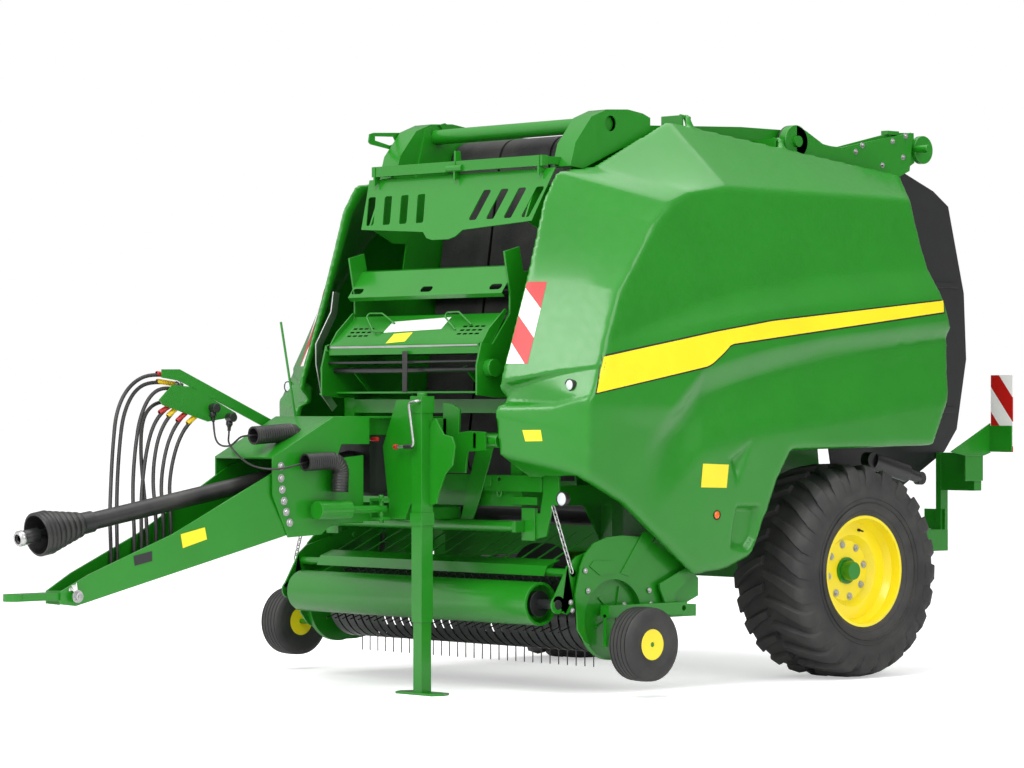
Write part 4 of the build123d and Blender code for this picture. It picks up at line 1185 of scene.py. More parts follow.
def pickup():
    """Both side plates with their dished housings, straps, wheel arms and stub axles."""
    inner, outer = PICKUP_HALF, PICKUP_HALF + PLATE
    cam_y, cam_z = CAM
    # side plate, (Y, Z), with a round opening; behind it a dished housing carries the reel's end
    outline = [(-1951, 439), (-1962, 500), (-1925, 640), (-1894, 701), (-1835, 754), (-1744, 782),
               (-1634, 788), (-1476, 775), (-1204, 640), (-1100, 560), (-1100, 470), (-1286, 400),
               (-1380, 250), (-1400, 195), (-1560, 172), (-1700, 172), (-1816, 225), (-1900, 270),
               (-1945, 330)]
    plate = cheek(outline, inner, outer) \
        - disc(PICKUP_PIVOT_Y, PICKUP_PIVOT_Z, PICKUP_PIVOT_D + 2 * RUN, inner - 1, outer + 1) \
        - disc(cam_y, cam_z, 2 * CAM_R, inner - 1, outer + 1)
    dish = disc(cam_y, cam_z, 2 * CAM_R + 8, inner - 30, inner + 1) \
        - disc(cam_y, cam_z, 2 * CAM_R, inner - 24, inner + 2) \
        - disc(REEL_Y, REEL_Z, REEL_SHAFT_D + 2 * RUN, inner - 31, inner)
    for spoke in range(6):
        turn = radians(20 + 60 * spoke)
        dish += beam((inner - 19, REEL_Y + 40 * cos(turn), REEL_Z + 40 * sin(turn)),
                     (inner - 19, REEL_Y + 150 * cos(turn), REEL_Z + 150 * sin(turn)), 8, 10, (1, 0, 0))
    dish -= disc(REEL_Y, REEL_Z, REEL_SHAFT_D + 2 * RUN, inner - 31, inner)
    # pressed rib and lifting strap on the outside of the plate
    strap = cheek([(-1655, 600), (-1600, 585), (-1395, 800), (-1500, 800)], outer, outer + 6) \
        + cheek([(-1867, 640), (-1840, 668), (-1700, 662), (-1690, 600), (-1800, 596)], outer, outer + 6)
    # arm that carries the gauge wheel, with its drop and stub axle
    arm = block((outer, outer + 60), (-1790, -1240), (385, 445)) \
        - disc(-1262, 415, 30, outer - 1, outer + 61)
    tail = cheek([(-1406, 520), (-1406, 541), (-1186, 629), (-1148, 587), (-1290, 497), (-1305, 440),
                  (-1148, 430), (-1148, 370), (-1330, 370)], outer + 20, outer + 32) \
        - disc(PICKUP_PIVOT_Y, PICKUP_PIVOT_Z, PICKUP_PIVOT_D + 10, outer, outer + 40)
    drop = block((outer + 20, outer + 40), (-1790, -1730), (240, 400))
    axle = disc(GAUGE_Y, GAUGE_Z, GAUGE_AXLE_D, outer + 30, GAUGE_X + 60)
    pin = disc(WINDGUARD_Y, WINDGUARD_Z, 30, inner - 40, inner)
    whole = symmetric(plate + dish + strap + arm + tail + drop + axle + pin)
    welded("pickup_side_plates", whole, "pickup", "green", green, "pickup_frame")


pickup()


# Windguard over the pickup, with its press roller: a tube with links, a folded deflector on ribs
# and thin rods that hold the crop down.
GUARD_TUBE_Y, GUARD_TUBE_Z, GUARD_TUBE_D = -1950.0, 608.0, 42.0
ROLLER_Y, ROLLER_Z = -2050.0, 455.0
ROLLER_SHAFT_D = 50.0
SHEET = 4.0                 # folded sheet covers and pans
GUARD_RODS = 15
ROD_ROW_HALF = 840.0
ROLLER_D, ROLLER_WALL = 216.0, 14.0
ROLLER_HALF = 930.0


def windguard():
    """The guard's frame with its deflector and rods, and the press roller it carries."""
    x = PICKUP_HALF - 30
    bar = disc(GUARD_TUBE_Y, GUARD_TUBE_Z, GUARD_TUBE_D, -x - PLATE, x + PLATE)
    link = cheek([(-1990, 640), (-1930, 688), (-1620, 775), (-1565, 760), (-1565, 705), (-1700, 680),
                  (-1905, 575), (-1945, 430), (-1990, 405), (-2030, 415)], x, x + PLATE) \
        + disc(ROLLER_Y, ROLLER_Z, 90, x, x + PLATE) \
        + cheek([(-2085, 475), (-1985, 640), (-1950, 480), (-2000, 410)], x, x + PLATE)
    link -= disc(WINDGUARD_Y, WINDGUARD_Z, 30 + 2 * RUN, x - 1, x + PLATE + 1)
    link -= disc(ROLLER_Y, ROLLER_Z, ROLLER_SHAFT_D + 2 * RUN, x - 1, x + PLATE + 1)
    # folded deflector over the tube, on ribs, with rods running back over the crop
    sheet = cheek(folded([(-1880, 668), (-1966, 640), (-1990, 590)], SHEET), -885, 885)
    ribs = [cheek([(-1955, 608), (-1966, 641), (-1890, 666), (-1935, 608)], rib_x, rib_x + 6)
            for rib_x in (-870, -520, -170, 170, 520, 864)]
    pitch = 2 * ROD_ROW_HALF / (GUARD_RODS - 1)
    places = [i * pitch - ROD_ROW_HALF for i in range(GUARD_RODS)]
    rods = [rod((rod_x, -1900, 656), (rod_x, -1610, 792), 9) for rod_x in places]
    whole = bar + symmetric(link) + sheet + ribs + rods
    welded("windguard_frame", whole, "windguard", "green", green, "windguard")

    drum = disc(ROLLER_Y, ROLLER_Z, ROLLER_D, -ROLLER_HALF, ROLLER_HALF)
    end = disc(ROLLER_Y, ROLLER_Z, ROLLER_D - 2 * ROLLER_WALL, ROLLER_HALF - 45, ROLLER_HALF + 1)
    hub = disc(ROLLER_Y, ROLLER_Z, 130, ROLLER_HALF - 46, ROLLER_HALF - 8)
    welded("press_roller_drum", drum - symmetric(end), "press_roller", "green", green, "press_roller")
    hubs = symmetric(hub) + disc(ROLLER_Y, ROLLER_Z, ROLLER_SHAFT_D, -x - PLATE, x + PLATE)
    welded("press_roller_hubs", hubs, "press_roller", "black", black)


windguard()


# Arms of the tailgate, welded from plate. They lie against its black side sheets, turn on the
# hinge pin and carry the eyes of the lift cylinders.
HINGE_Y, HINGE_Z = 50.0, 2860.0
EYE_Y, EYE_Z = 227.9, 2694.9
CYL_X = 722.0
HINGE_PIN_D, HINGE_RING_D = 60.0, 176.0
TAILGATE_GAP = 24.0         # from the chamber's side plates out to the tailgate's sheets


def tailgate_arms():
    """Web between two plates, with the hinge ring in front and the rear roller's motor behind."""
    x1 = SILL_IN + TAILGATE_GAP + SKIN
    foot = [(867, 2700), (300, 2700), (215, 2648), (150, 2650), (110, 2730), (HINGE_Y, HINGE_Z - 88)]
    root = [(HINGE_Y, HINGE_Z + 88), (125, 2920), (259, 2856)]
    inner = cheek(root + [(415, 2850), (858, 2950), (1045, 2957), (1050, 2790), (954, 2739)] + foot,
                  x1, x1 + 8)
    outer = cheek(root + [(424, 2834), (941, 2946), (977, 2954), (990, 2925), (965, 2740)] + foot,
                  686, 696)
    web = cheek([(415, 2845), (941, 2946), (941, 2932), (415, 2830)], x1, 690) \
        + cheek([(125, 2915), (259, 2851), (259, 2838), (125, 2902)], x1, 690)
    motor = disc(1100, 2864, 156, x1, 680) + disc(1040, 2864, 44, 670, 770)
    lug = disc(EYE_Y, EYE_Z, 90, x1, CYL_X - 20 - RUN)
    ring = disc(HINGE_Y, HINGE_Z, HINGE_RING_D, x1, 696)
    arm = inner + outer + web + ring + motor + lug \
        - disc(HINGE_Y, HINGE_Z, HINGE_PIN_D + 2 * RUN, x1 - 12, 712)
    lamp = block((646, 662), (830, 858), (2890, 2940)) + block((630, 676), (801, 900), (2936, 2958))
    welded("tailgate_lift_arms", symmetric(arm) + lamp, "tailgate", "green", green)


tailgate_arms()


# Tube across the roof's front, held in both horns, with the belt tension lever, cut from plate, at
# its right end.
def top_tube():
    """The tube with the slotted lever at its right end."""
    bar = disc(TOP_TUBE_Y, TOP_TUBE_Z, TOP_TUBE_D, -768, 720)
    lever = cheek([(-1735, 2848), (-1728, 2890), (-1700, 2899), (-1440, 2912), (-1400, 2850),
                   (-1582, 2815), (-1722, 2836)], -768, -760) \
        - cheek([(-1690, 2858), (-1690, 2880), (-1560, 2884), (-1540, 2850), (-1585, 2836)], -769, -759)
    welded("roof_top_tube", bar + lever, "frame", "green", green, "top_tube")


top_tube()


# Slotted guard: laser-cut steel plate that leans back under the roof, hung from a square rail by
# welded lugs.
GUARD_LEAN = 0.40           # it leans back this much for each unit of height
GUARD_FOOT_Y, GUARD_FOOT_Z = -1896.0, 2300.0
GUARD_HALF_TOP, GUARD_HALF_FOOT = 725.0, 665.0
GUARD_H = 366.0             # along the slope
SLOT_FIRST, SLOT_PITCH, SLOTS = 232.0, 133.0, 4


def rounded(outline, radius):
    """Closed outline with its corners rounded."""
    points = []
    count = len(outline)
    for i in range(count):
        corners = [(*outline[(i + k) % count], 0.0) for k in (-1, 0, 1)]
        points += [(p.x, p.y) for p in rounded_route(corners, [radius])[1:-1]]
    return points


def slotted_guard():
    """Leaning plate with slanted slots, the rail behind its top edge and the lugs of the rail."""
    tilt = hypot(1, GUARD_LEAN)

    def at(u, v, level):
        """Point u across the plate, v up its slope and level in front of it."""
        return (u, GUARD_FOOT_Y + (GUARD_LEAN * v - level) / tilt,
                GUARD_FOOT_Z + (v + GUARD_LEAN * level) / tilt)

    half = [(GUARD_HALF_TOP, GUARD_H), (GUARD_HALF_FOOT, 75), (155, 44), (112, 8), (65, -5)]
    guard = prism(half + [(-u, v) for u, v in reversed(half)], at, -6, 0)
    for i in range(SLOTS):
        middle = SLOT_FIRST + i * SLOT_PITCH
        slot = rounded([(middle - 57, 97), (middle + 3, 97), (middle + 57, 264), (middle - 3, 264)], 12)
        guard -= symmetric(prism(slot, at, -9, 3))
    rail = block((-665, 665), (-1795, -1755), (2651, 2705))
    lugs = [cheek([(-1800, 2600), (-1800, 2705), (-1755, 2705), (-1762, 2630)], x - 6, x + 6)
            for x in (-640, 0, 640)]
    middle = cheek([(-1795, 2650), (-1795, 2759), (-1760, 2759), (-1750, 2650)], -6, 6) \
        + disc(-1795, 2668, 35, -60, 60)
    link = cheek([(-1757, 2660), (-1757, 2700), (-1660.3, 2700), (-1671.7, 2660)], 625, 660)
    bracket = cheek([(-1861, 2380), (-1789, 2560), (-1560.2, 2560), (-1603.5, 2300), (-1700, 2300)],
                    CHAMBER_HALF, SILL_IN)
    whole = guard + rail + lugs + middle + symmetric(link + bracket)
    welded("front_slotted_guard", whole, "frame", "green", green, "slotted_guard")


slotted_guard()


# Net box: folded side plates and pan round the net roll, with its rods and gussets. The roll and
# its bar are black, and the rod of the cover's hinge is zinc plated.
NET_HINGE_Y, NET_HINGE_Z = -2150.0, 1740.0
NET_ROD_D, NET_TUBE_D = 14.0, 30.0
PAN_Y, PAN_Z = -1990.6, 2038.0          # middle of the pan's sloping face
PAN_RUN, PAN_RISE = 0.587, 0.810        # its slope, to a length of 1


def net_gear():
    """The fixed net box, the net roll with its bar, and the rod the cover turns on."""
    x = CHAMBER_HALF
    side = cheek([(-1560, 1500), (-1640, 1478), (-2060, 1478), (-2190, 1490), (-2190, 1640),
                  (-2160, 1752), (-2085, 1745), (-1965, 1900), (-1965, 2010), (-1985, 2110),
                  (-2004, 2213), (-1902, 2240), (-1873, 2113), (-1650, 2150), (-1640, 2080)],
                 x, SILL_IN)
    pan = cheek(folded([(-1870, 2150), (-1915, 2142), (-2015, 2004), (-1995, 1985)], SHEET), -x, x)
    for hole_x in (-550, 0, 530):
        oval = rounded([(-45, -17.5), (45, -17.5), (45, 17.5), (-45, 17.5)], 17.4)
        pan -= prism([(hole_x + u, v) for u, v in oval],
                     lambda u, v, level: (u, PAN_Y + PAN_RUN * v - PAN_RISE * level,
                                          PAN_Z + PAN_RISE * v + PAN_RUN * level), -20, 20)
    roll = disc(-1850, 1800, 200, -x, x)
    floor = block((-x, x), (-2090, -1700), (1500, 1510))
    hinge_rod = disc(NET_HINGE_Y, NET_HINGE_Z, NET_ROD_D, -x, x)
    bar = disc(-2100, 1620, NET_TUBE_D, -x, x) + disc(-2144, 1660, NET_ROD_D, -x, x)
    bearing = disc(-2110, 1626, 90, SILL_IN, 660)
    gussets = [cheek([(-2112, 1632), (-2088, 1640), (-1950, 1510), (-1975, 1500)], gx, gx + 10)
               for gx in (-470, 420)]
    whole = symmetric(side + bearing) + pan + floor + gussets
    welded("net_box_frame", whole, "frame", "green", green, "net_box")
    welded("net_roll_and_bar", roll + bar, "frame", "black", black)
    welded("net_hinge_rod", hinge_rod, "net_cover", "zinc", zinc)


net_gear()


# Cover of the net box: one sheet, folded and painted, with two groups of vents. It turns on the
# hinge rod by an arm at each end.
VENT_ROWS, VENT_COLUMNS = 3, 4


def net_cover():
    """Folded front of the net box with two groups of vents and a hinge arm at each end."""
    half = CHAMBER_HALF - 2 - PLATE
    fold, top = (-2137, 1752), (-1967, 1900)
    sheet = cheek(folded([(-2150, 1700), (-2150, 1744), fold, top, (-1940, 1900)], SHEET), -half, half)
    arm = cheek([(-1972, 1917), (-2010, 1852), (-2067, 1767), (-2100, 1712), (-2140, 1712),
                 (-2165, 1722), (-2168, 1750), (-2143, 1752), (-2096, 1823), (-1985, 1925)],
                half, half + PLATE) \
        + disc(NET_HINGE_Y, NET_HINGE_Z, 34, half, half + PLATE)
    cover = sheet + symmetric(arm)
    cover -= disc(NET_HINGE_Y, NET_HINGE_Z, NET_ROD_D + 2 * RUN, -CHAMBER_HALF, CHAMBER_HALF)
    for row in range(VENT_ROWS):
        z = 1800 + 19 * row
        y = fold[0] + (z - fold[1]) * (top[0] - fold[0]) / (top[1] - fold[1])
        for column in range(VENT_COLUMNS):
            for start in (-518, 345):
                x = start + 45 * column
                cover -= block((x, x + 32), (y - 12, y + 12), (z - 4, z + 4))
    welded("net_box_cover", cover, "net_cover", "green", green, "net_cover")


net_cover()


# Brackets of the rear lamps and marker boards, folded and welded from plate, on the ends of the
# sills.
REAR_Y = 1290.0             # end of the sills and the lamp brackets
SILL_TOP = 745.0


def rear_lamps():
    """Both rear brackets: arm, post on the sill, lamp box and board holder."""
    bracket = block((SILL_OUT, 937), (REAR_Y - 60, REAR_Y), (965, 1175)) \
        + block((SILL_OUT - 38, SILL_OUT), (REAR_Y - 60, REAR_Y), (SILL_TOP, 1175)) \
        + cheek([(1141, 1020), (1290, 1020), (1290, 1175), (1141, 1175)], 937, 949) \
        + cheek([(1008, 1183), (1345, 1340), (1345, 1175), (1290, 1160), (1141, 1160)], 949, 957) \
        + block((560, 714), (REAR_Y - 50, REAR_Y - 40), (SILL_TOP, 859)) \
        + front_plate([(949, 1183), (1113, 1183), (1113, 1326), (949, 1326)], 1337, 1345)
    welded("rear_lamp_brackets", symmetric(bracket), "frame", "green", green, "rear_brackets")


rear_lamps()


# Gas dampers of the belt tension arms: drawn steel barrels with an eye at each end, painted black
# like the posts that hold them over the sills.
def rear_dampers():
    """Gas dampers of the belt tension arms, carried on posts outside the sills."""
    post = block((668, 692), (600, 640), (SILL_TOP, 1060)) \
        + block((668, 900), (600, 640), (1060, 1090))
    barrel = rod((900, 420, 1140), (900, 700, 1069), 96) \
        + rod((900, 690, 1072), (900, 800, 1043), 60)
    eyes = disc(405, 1144, 84, 872, 928) + disc(812, 1040, 72, 880, 920)
    welded("belt_dampers", symmetric(post + barrel + eyes), "frame", "black", black)


rear_dampers()


# Corrugated plastic sleeves for the braking leads, blow-moulded, held in a welded saddle.
CORRUGATION = 7.0           # from one ring of the wall to the next
DRAWN_IN = 0.93             # every second ring is this much narrower
SLEEVE_SIDES = 40


def air_ducts():
    """Two bent sleeves that take the braking leads through the headstock's cover."""
    for name, points, outside, radius in (
            ("lower_sleeve", [(285, -3030, 1159), (285, -2800, 1167), (285, -2808, 1010)], 88, 60),
            ("upper_sleeve", [(100, -3205, 1290), (100, -2960, 1305), (100, -2905, 1245)], 92, 40)):
        route = rounded_route(points, [radius])
        fine = [route[0]]
        for a, b in zip(route, route[1:]):
            steps = max(1, round((b - a).length / CORRUGATION))
            fine += [a.lerp(b, (i + 1) / steps) for i in range(steps)]
        wall, faces = swept(fine, circle(outside, SLEEVE_SIDES)).shells[0]
        for i, middle in enumerate(fine):
            for j in range(i * SLEEVE_SIDES, (i + 1) * SLEEVE_SIDES):
                wall[j] = middle + (wall[j] - middle) * (DRAWN_IN if i % 2 else 1.0)
        # the mouth is hollow from two steps ahead of it to nine behind
        step = fine[1] - fine[0]
        mouth = rod(fine[0] - step * 2, fine[0] + step * 9, 70)
        welded(name, Solid([(wall, faces)]) - mouth, "frame", "hose", moulded)
    saddle = block((230, 245), (-2900, -2870), (1120, 1200))
    welded("sleeve_saddle", saddle, "frame", "green", green)


air_ducts()


# Hose holder, flame-cut from plate and welded to the headstock, with an upright lever beside it
# and the two black sockets that park the heads of the braking leads.
HOLDER_X, HOLDER_PLATE = -268.0, 8.0


def hose_holder():
    """Bar and rack of the holder with its foot and lever, and the sockets on the rack."""
    far = HOLDER_X - HOLDER_PLATE
    bar = cheek([(-3486, 1616), (-3376, 1617), (-2711, 1330), (-2740, 1285), (-3380, 1560),
                 (-3486, 1575)], far, HOLDER_X)
    rack = cheek([(-3502, 1465), (-3420, 1540), (-3300, 1530), (-3023, 1400), (-3023, 1382),
                  (-3200, 1357), (-3480, 1440)], far, HOLDER_X)
    foot = block((far, -DRAWBAR_HALF - PLATE), (-2760, -2700), (1290, 1330))
    lever = rod((-225, -2660, 1300), (-225, -2770, 1860), 12)
    welded("hose_holder", bar + rack + foot + lever, "frame", "green", green)
    sockets = disc(-3175, 1425, 46, HOLDER_X - 4, HOLDER_X + 42) \
        + disc(-3070, 1378, 46, HOLDER_X - 4, HOLDER_X + 42)
    welded("lead_sockets", sockets, "frame", "black", black)


hose_holder()


# Eight hydraulic hoses and two braking leads, extruded rubber on a wire braid. The hoses come out
# of the drawbar, the leads out of the headstock, and each is parked in the holder by its free end.
# A route's points are metres from the axle, the parked end first.
def flexible(name, route, diameter):
    """Smooth round cord through its route."""
    places = [(x, y + AXLE_Y, z) for x, y, z in reversed(route)]
    cord = round_line(name, places, 0.0, 10, 5)
    bare = bpy.data.meshes.new_from_object(cord)
    bpy.data.meshes.remove(bare)
    cord.data.bevel_depth = diameter / 2
    cord.data.materials.append(hose_rubber)
    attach(cord, "frame")


def parked_end(route):
    """First point of a route and the direction back out of it, in millimetres."""
    start, second = (Vector(point) * 1000 for point in route[:2])
    return start, (start - second).normalized()


HOSE_D, LEAD_D = 0.019, 0.010
HOSES = [
    [(-0.300, -3.390, 1.580), (-0.302, -3.520, 1.600), (-0.302, -3.655, 1.545), (-0.300, -3.740, 1.420),
     (-0.270, -3.784, 1.240), (-0.210, -3.840, 1.060), (-0.140, -3.898, 0.900), (-0.095, -3.925, 0.780),
     (-0.080, -3.930, 0.594)],
    [(-0.318, -3.375, 1.545), (-0.318, -3.500, 1.560), (-0.316, -3.615, 1.520), (-0.312, -3.690, 1.400),
     (-0.280, -3.737, 1.240), (-0.220, -3.795, 1.060), (-0.150, -3.850, 0.900), (-0.098, -3.885, 0.780),
     (-0.084, -3.893, 0.604)],
    [(-0.290, -3.300, 1.500), (-0.292, -3.420, 1.532), (-0.292, -3.530, 1.505), (-0.290, -3.603, 1.390),
     (-0.262, -3.655, 1.230), (-0.205, -3.712, 1.060), (-0.150, -3.750, 0.920), (-0.105, -3.775, 0.800),
     (-0.098, -3.785, 0.632)],
    [(-0.325, -3.330, 1.425), (-0.328, -3.417, 1.462), (-0.328, -3.509, 1.439), (-0.322, -3.569, 1.365),
     (-0.292, -3.600, 1.215), (-0.244, -3.622, 1.070), (-0.152, -3.672, 0.930), (-0.112, -3.695, 0.810),
     (-0.094, -3.705, 0.659)],
    [(-0.296, -3.385, 1.452), (-0.298, -3.455, 1.415), (-0.297, -3.520, 1.340), (-0.275, -3.575, 1.225),
     (-0.216, -3.645, 1.070), (-0.155, -3.700, 0.940), (-0.112, -3.728, 0.820), (-0.094, -3.745, 0.645)],
    [(-0.292, -3.345, 1.448), (-0.294, -3.418, 1.395), (-0.292, -3.485, 1.300), (-0.262, -3.540, 1.175),
     (-0.205, -3.590, 1.050), (-0.140, -3.625, 0.950), (-0.110, -3.640, 0.830), (-0.100, -3.650, 0.668)],
    [(-0.290, -3.290, 1.425), (-0.292, -3.362, 1.370), (-0.290, -3.430, 1.268), (-0.258, -3.490, 1.140),
     (-0.200, -3.545, 1.020), (-0.135, -3.580, 0.935), (-0.112, -3.595, 0.830), (-0.104, -3.602, 0.681)],
    [(-0.288, -3.225, 1.410), (-0.290, -3.300, 1.358), (-0.288, -3.368, 1.270), (-0.262, -3.430, 1.150),
     (-0.205, -3.490, 1.040), (-0.142, -3.530, 0.955), (-0.118, -3.545, 0.850), (-0.108, -3.555, 0.694)]]
LEADS = [
    [(-0.262, -3.175, 1.401), (-0.258, -3.172, 1.320), (-0.225, -3.185, 1.262), (-0.150, -3.210, 1.236),
     (-0.050, -3.232, 1.236), (0.020, -3.250, 1.262), (0.072, -3.258, 1.288), (0.100, -3.190, 1.292),
     (0.100, -3.060, 1.294), (0.100, -2.950, 1.288), (0.104, -2.900, 1.240), (0.150, -2.880, 1.190),
     (0.224, -2.870, 1.150)],
    [(-0.262, -3.070, 1.354), (-0.256, -3.078, 1.290), (-0.215, -3.115, 1.255), (-0.120, -3.165, 1.226),
     (0.000, -3.222, 1.192), (0.110, -3.245, 1.150), (0.205, -3.238, 1.128), (0.265, -3.165, 1.126),
     (0.285, -3.085, 1.145), (0.274, -3.000, 1.160), (0.2575, -2.930, 1.164)]]
red_grip = enamel("red_plastic", "#B01414", gloss=0.4)
yellow_grip = enamel("yellow_plastic", "#E8C400", gloss=0.4)
# (distance along, radius): a coupler's turned barrel, the plastic grip behind it, a lead's head
BARREL = [(0, 0), (0, 11), (6, 16), (14, 16), (16, 14), (30, 14), (32, 17), (44, 17), (46, 12),
          (52, 12), (52, 0)]
GRIP = [(0, 9.4), (0, 12.5), (6, 13), (100, 13), (106, 11), (106, 9.4)]
HEAD = [(0, 0), (0, 15), (-4, 17), (-20, 17), (-24, 13), (-34, 9), (-50, 8), (-52, 4.8), (-30, 4.6)]
for number, route in enumerate(HOSES, 1):
    start, back = parked_end(route)
    ends = (welded(f"coupler_{number}", lathe(BARREL, start, back), "frame", "zinc", zinc),
            welded(f"hose_grip_{number}", lathe(GRIP, start - back * 2, -back), "frame", "hose",
                   red_grip if number % 2 else yellow_grip))
    flexible(f"hydraulic_hose_{number}", route, HOSE_D)
for number, route in enumerate(LEADS, 1):
    start, back = parked_end(route)
    ends = (welded(f"lead_head_{number}", lathe(HEAD, start + back * 6, back), "frame",
                   "guard_plastic", moulded),)
    flexible(f"braking_lead_{number}", route, LEAD_D)


# Hand levers, bent from rod and zinc plated, with knobs of red plastic and a black sleeve on the
# crank's handle.
def hand_levers():
    """Zinc-plated rods: jack crank, net brake lever and the rod of the shut-off valve."""
    crank = bent_rod([(495, -2463, 1460), (495, -2490, 1460), (437, -2490, 1450), (477, -2490, 1234),
                      (352, -2490, 1231)], 14, [12, 20, 20])
    middle = [(-2016, 2040), (-2033, 1933), (-2136, 1762), (-2134, 1655), (-2098, 1492), (-2021, 1407)]
    lever = cheek(folded(middle, 44), -724, -716) + disc(-2098, 1500, 20, -724, -612)
    valve = rod((-63, -2551.7, 1262.7), (165, -2500, 1268), 16)
    welded("hand_levers", crank + lever + valve, "frame", "zinc", zinc)
    knobs = rod((352, -2490, 1231), (330, -2490, 1231), 26) \
        + rod((165, -2500, 1268), (205, -2491, 1269), 22)
    welded("lever_knobs", knobs, "frame", "panel", red_grip)
    grip = rod((405, -2490, 1232), (463, -2490, 1234), 24)
    welded("crank_grip", grip, "frame", "guard_plastic", moulded)


hand_levers()


# Tailgate: steel side sheets with pressed ribs and the curved back between them, welded, painted
# satin black and hung on the hinge pins.
def tailgate():
    """Both side sheets with their ribs and hinge rings, and the back that joins them."""
    x0 = SILL_IN + TAILGATE_GAP
    x1 = x0 + SKIN
    side = cheek([(HINGE_Y + 20, 2790), (954, 2739), (1218, 2640), (1346, 2558), (1480, 2072),
                  (1500, 1700), (1418, 1304), (1312, 1180), (900, 960), (520, 860), (400, 1000),
                  (320, 1400), (240, 2300)], x0, x1)
    rib = cheek([(470, 1400), (1400, 1400), (1400, 1430), (470, 1430)], x1, x1 + PLATE) \
        + cheek([(390, 2100), (1420, 2100), (1420, 2130), (390, 2130)], x1, x1 + PLATE)
    back = cheek([(1290, 2560), (1360, 2560), (1490, 2060), (1500, 1700), (1425, 1310), (1365, 1310),
                  (1440, 1700), (1430, 2060)], -x0, x0)
    rings = symmetric(disc(HINGE_Y, HINGE_Z, HINGE_RING_D, x0, x1))
    whole = symmetric(side + rib) + back + rings
    welded("tailgate_sheets", whole, "tailgate", "black", black, "left_tailgate_side",
           "right_tailgate_side", "tailgate_back")


tailgate()


# Bolts, nuts and washers, zinc plated, where the wheels, arms and brackets are screwed together.
# The wheels' eight nuts stand on the rim's disc, and each rim has a rubber-covered valve stem.
def nut(across):
    """Hexagon nut on its washer with the stud's end, the axis along X and the foot at X = 0."""
    height, washer = across * 0.55, across * 0.85
    corner, stud = across / 2 / cos(pi / 6), across * 0.28
    form = bmesh.new()
    for sides, profile in (
            (24, ((-0.002, washer), (0.0025, washer), (0.003, washer - 0.0006))),
            (6, ((0.002, corner * 0.94), (0.0035, corner), (height - 0.0015, corner),
                 (height, corner * 0.90))),
            (16, ((0.003, stud), (height + across * 0.14, stud),
                  (height + across * 0.18, across * 0.22)))):
        turns = [2 * pi * i / sides for i in range(sides)]
        rings = [[form.verts.new((x, radius * cos(turn), radius * sin(turn))) for turn in turns]
                 for x, radius in profile]
        skin_rings(form, rings)
        form.faces.new(rings[0][::-1])
        form.faces.new(rings[-1])
    return form


def sight(tree, side, y, z):
    """Where a line straight in from beside the machine meets a skin."""
    return tree.ray_cast(Vector((side * SKIN_DISTANCE, y, z)), Vector((-side, 0, 0)))[0]


WHEEL_NUTS, NUT_CIRCLE, FIRST_NUT = 8, 0.140, 0.2
# (name, distance from the middle plane, body, size across flats, places (y, z) from the axle)
BOLTS = (
    ("arm_bolts", 0.696, "tailgate", 0.019,
     ((0.930, 2.932), (0.823, 2.898), (0.909, 2.814), (0.520, 2.827), (0.574, 2.864), (0.738, 2.763))),
    ("headstock_bolts", 0.231, "frame", 0.024,
     ((-3.137, 1.140), (-3.137, 1.081), (-3.130, 1.026), (-3.119, 0.970), (-3.105, 0.916),
      (-3.083, 0.863))),
    ("pickup_bolts", 1.091, "pickup", 0.016,
     ((-1.881, 0.520), (-1.999, 0.467), (-1.987, 0.427), (-1.899, 0.620), (-1.631, 0.443),
      (-1.456, 0.508), (-1.443, 0.440), (-1.352, 0.437))),
    ("tow_pin_head", 0.101, "frame", 0.036, ((-4.260, 0.537),)))
for side, name in SIDES:
    facing = Vector((1, 0, 0)).rotation_difference(Vector((side, 0, 0))).to_euler()
    rim = BVHTree.FromObject(nodes[name + "_rim"], bpy.context.evaluated_depsgraph_get())
    turns = [2 * pi * i / WHEEL_NUTS + FIRST_NUT for i in range(WHEEL_NUTS)]
    ring = [sight(rim, side, AXLE_Y + NUT_CIRCLE * cos(turn), AXLE_Z + NUT_CIRCLE * sin(turn))
            for turn in turns]
    repeated(name + "_wheel_nuts", nut(0.024), ring, name + "_wheel", zinc, facing,
             smooth_angle=30)
    for tag, out, body, across, spots in BOLTS:
        repeated(f"{name}_{tag}", nut(across), [(side * out, AXLE_Y + y, z) for y, z in spots], body,
                 zinc, facing, smooth_angle=30)
    well = sight(rim, side, AXLE_Y + 0.055, AXLE_Z + 0.215)
    well = Vector((well.x * 1000, (well.y - AXLE_Y) * 1000, well.z * 1000))
    stem = rod(well, well + Vector((side * 38, 0, -8)), 9) \
        + rod(well, well + Vector((side * 14, 0, -3)), 15)
    welded(name + "_valve_stem", stem, name + "_wheel", "guard_plastic", moulded)


# Blank plates where the machine carries its signs: plastic film, without any text or mark, stuck
# on the panels, the drawbar and the net cover.
white_film = enamel("white_film", "#ECECEA", gloss=0.3)
FORK_SKIN, COVER_SKIN = (
    BVHTree.FromObject(bpy.data.objects[name], bpy.context.evaluated_depsgraph_get())
    for name in ("drawbar_fork", "net_box_cover"))
FILM = 0.0014


def plate(name, tree, corners, body, material, way):
    """Film between four corners in order round the plate, laid on a skin along a direction."""
    a, b, c, d = (Vector(corner) for corner in corners)
    grid = [[(a.lerp(b, i / 6)).lerp(d.lerp(c, i / 6), j / 4) for i in range(7)] for j in range(5)]
    drape(name, tree, grid, body, material, way, FILM)


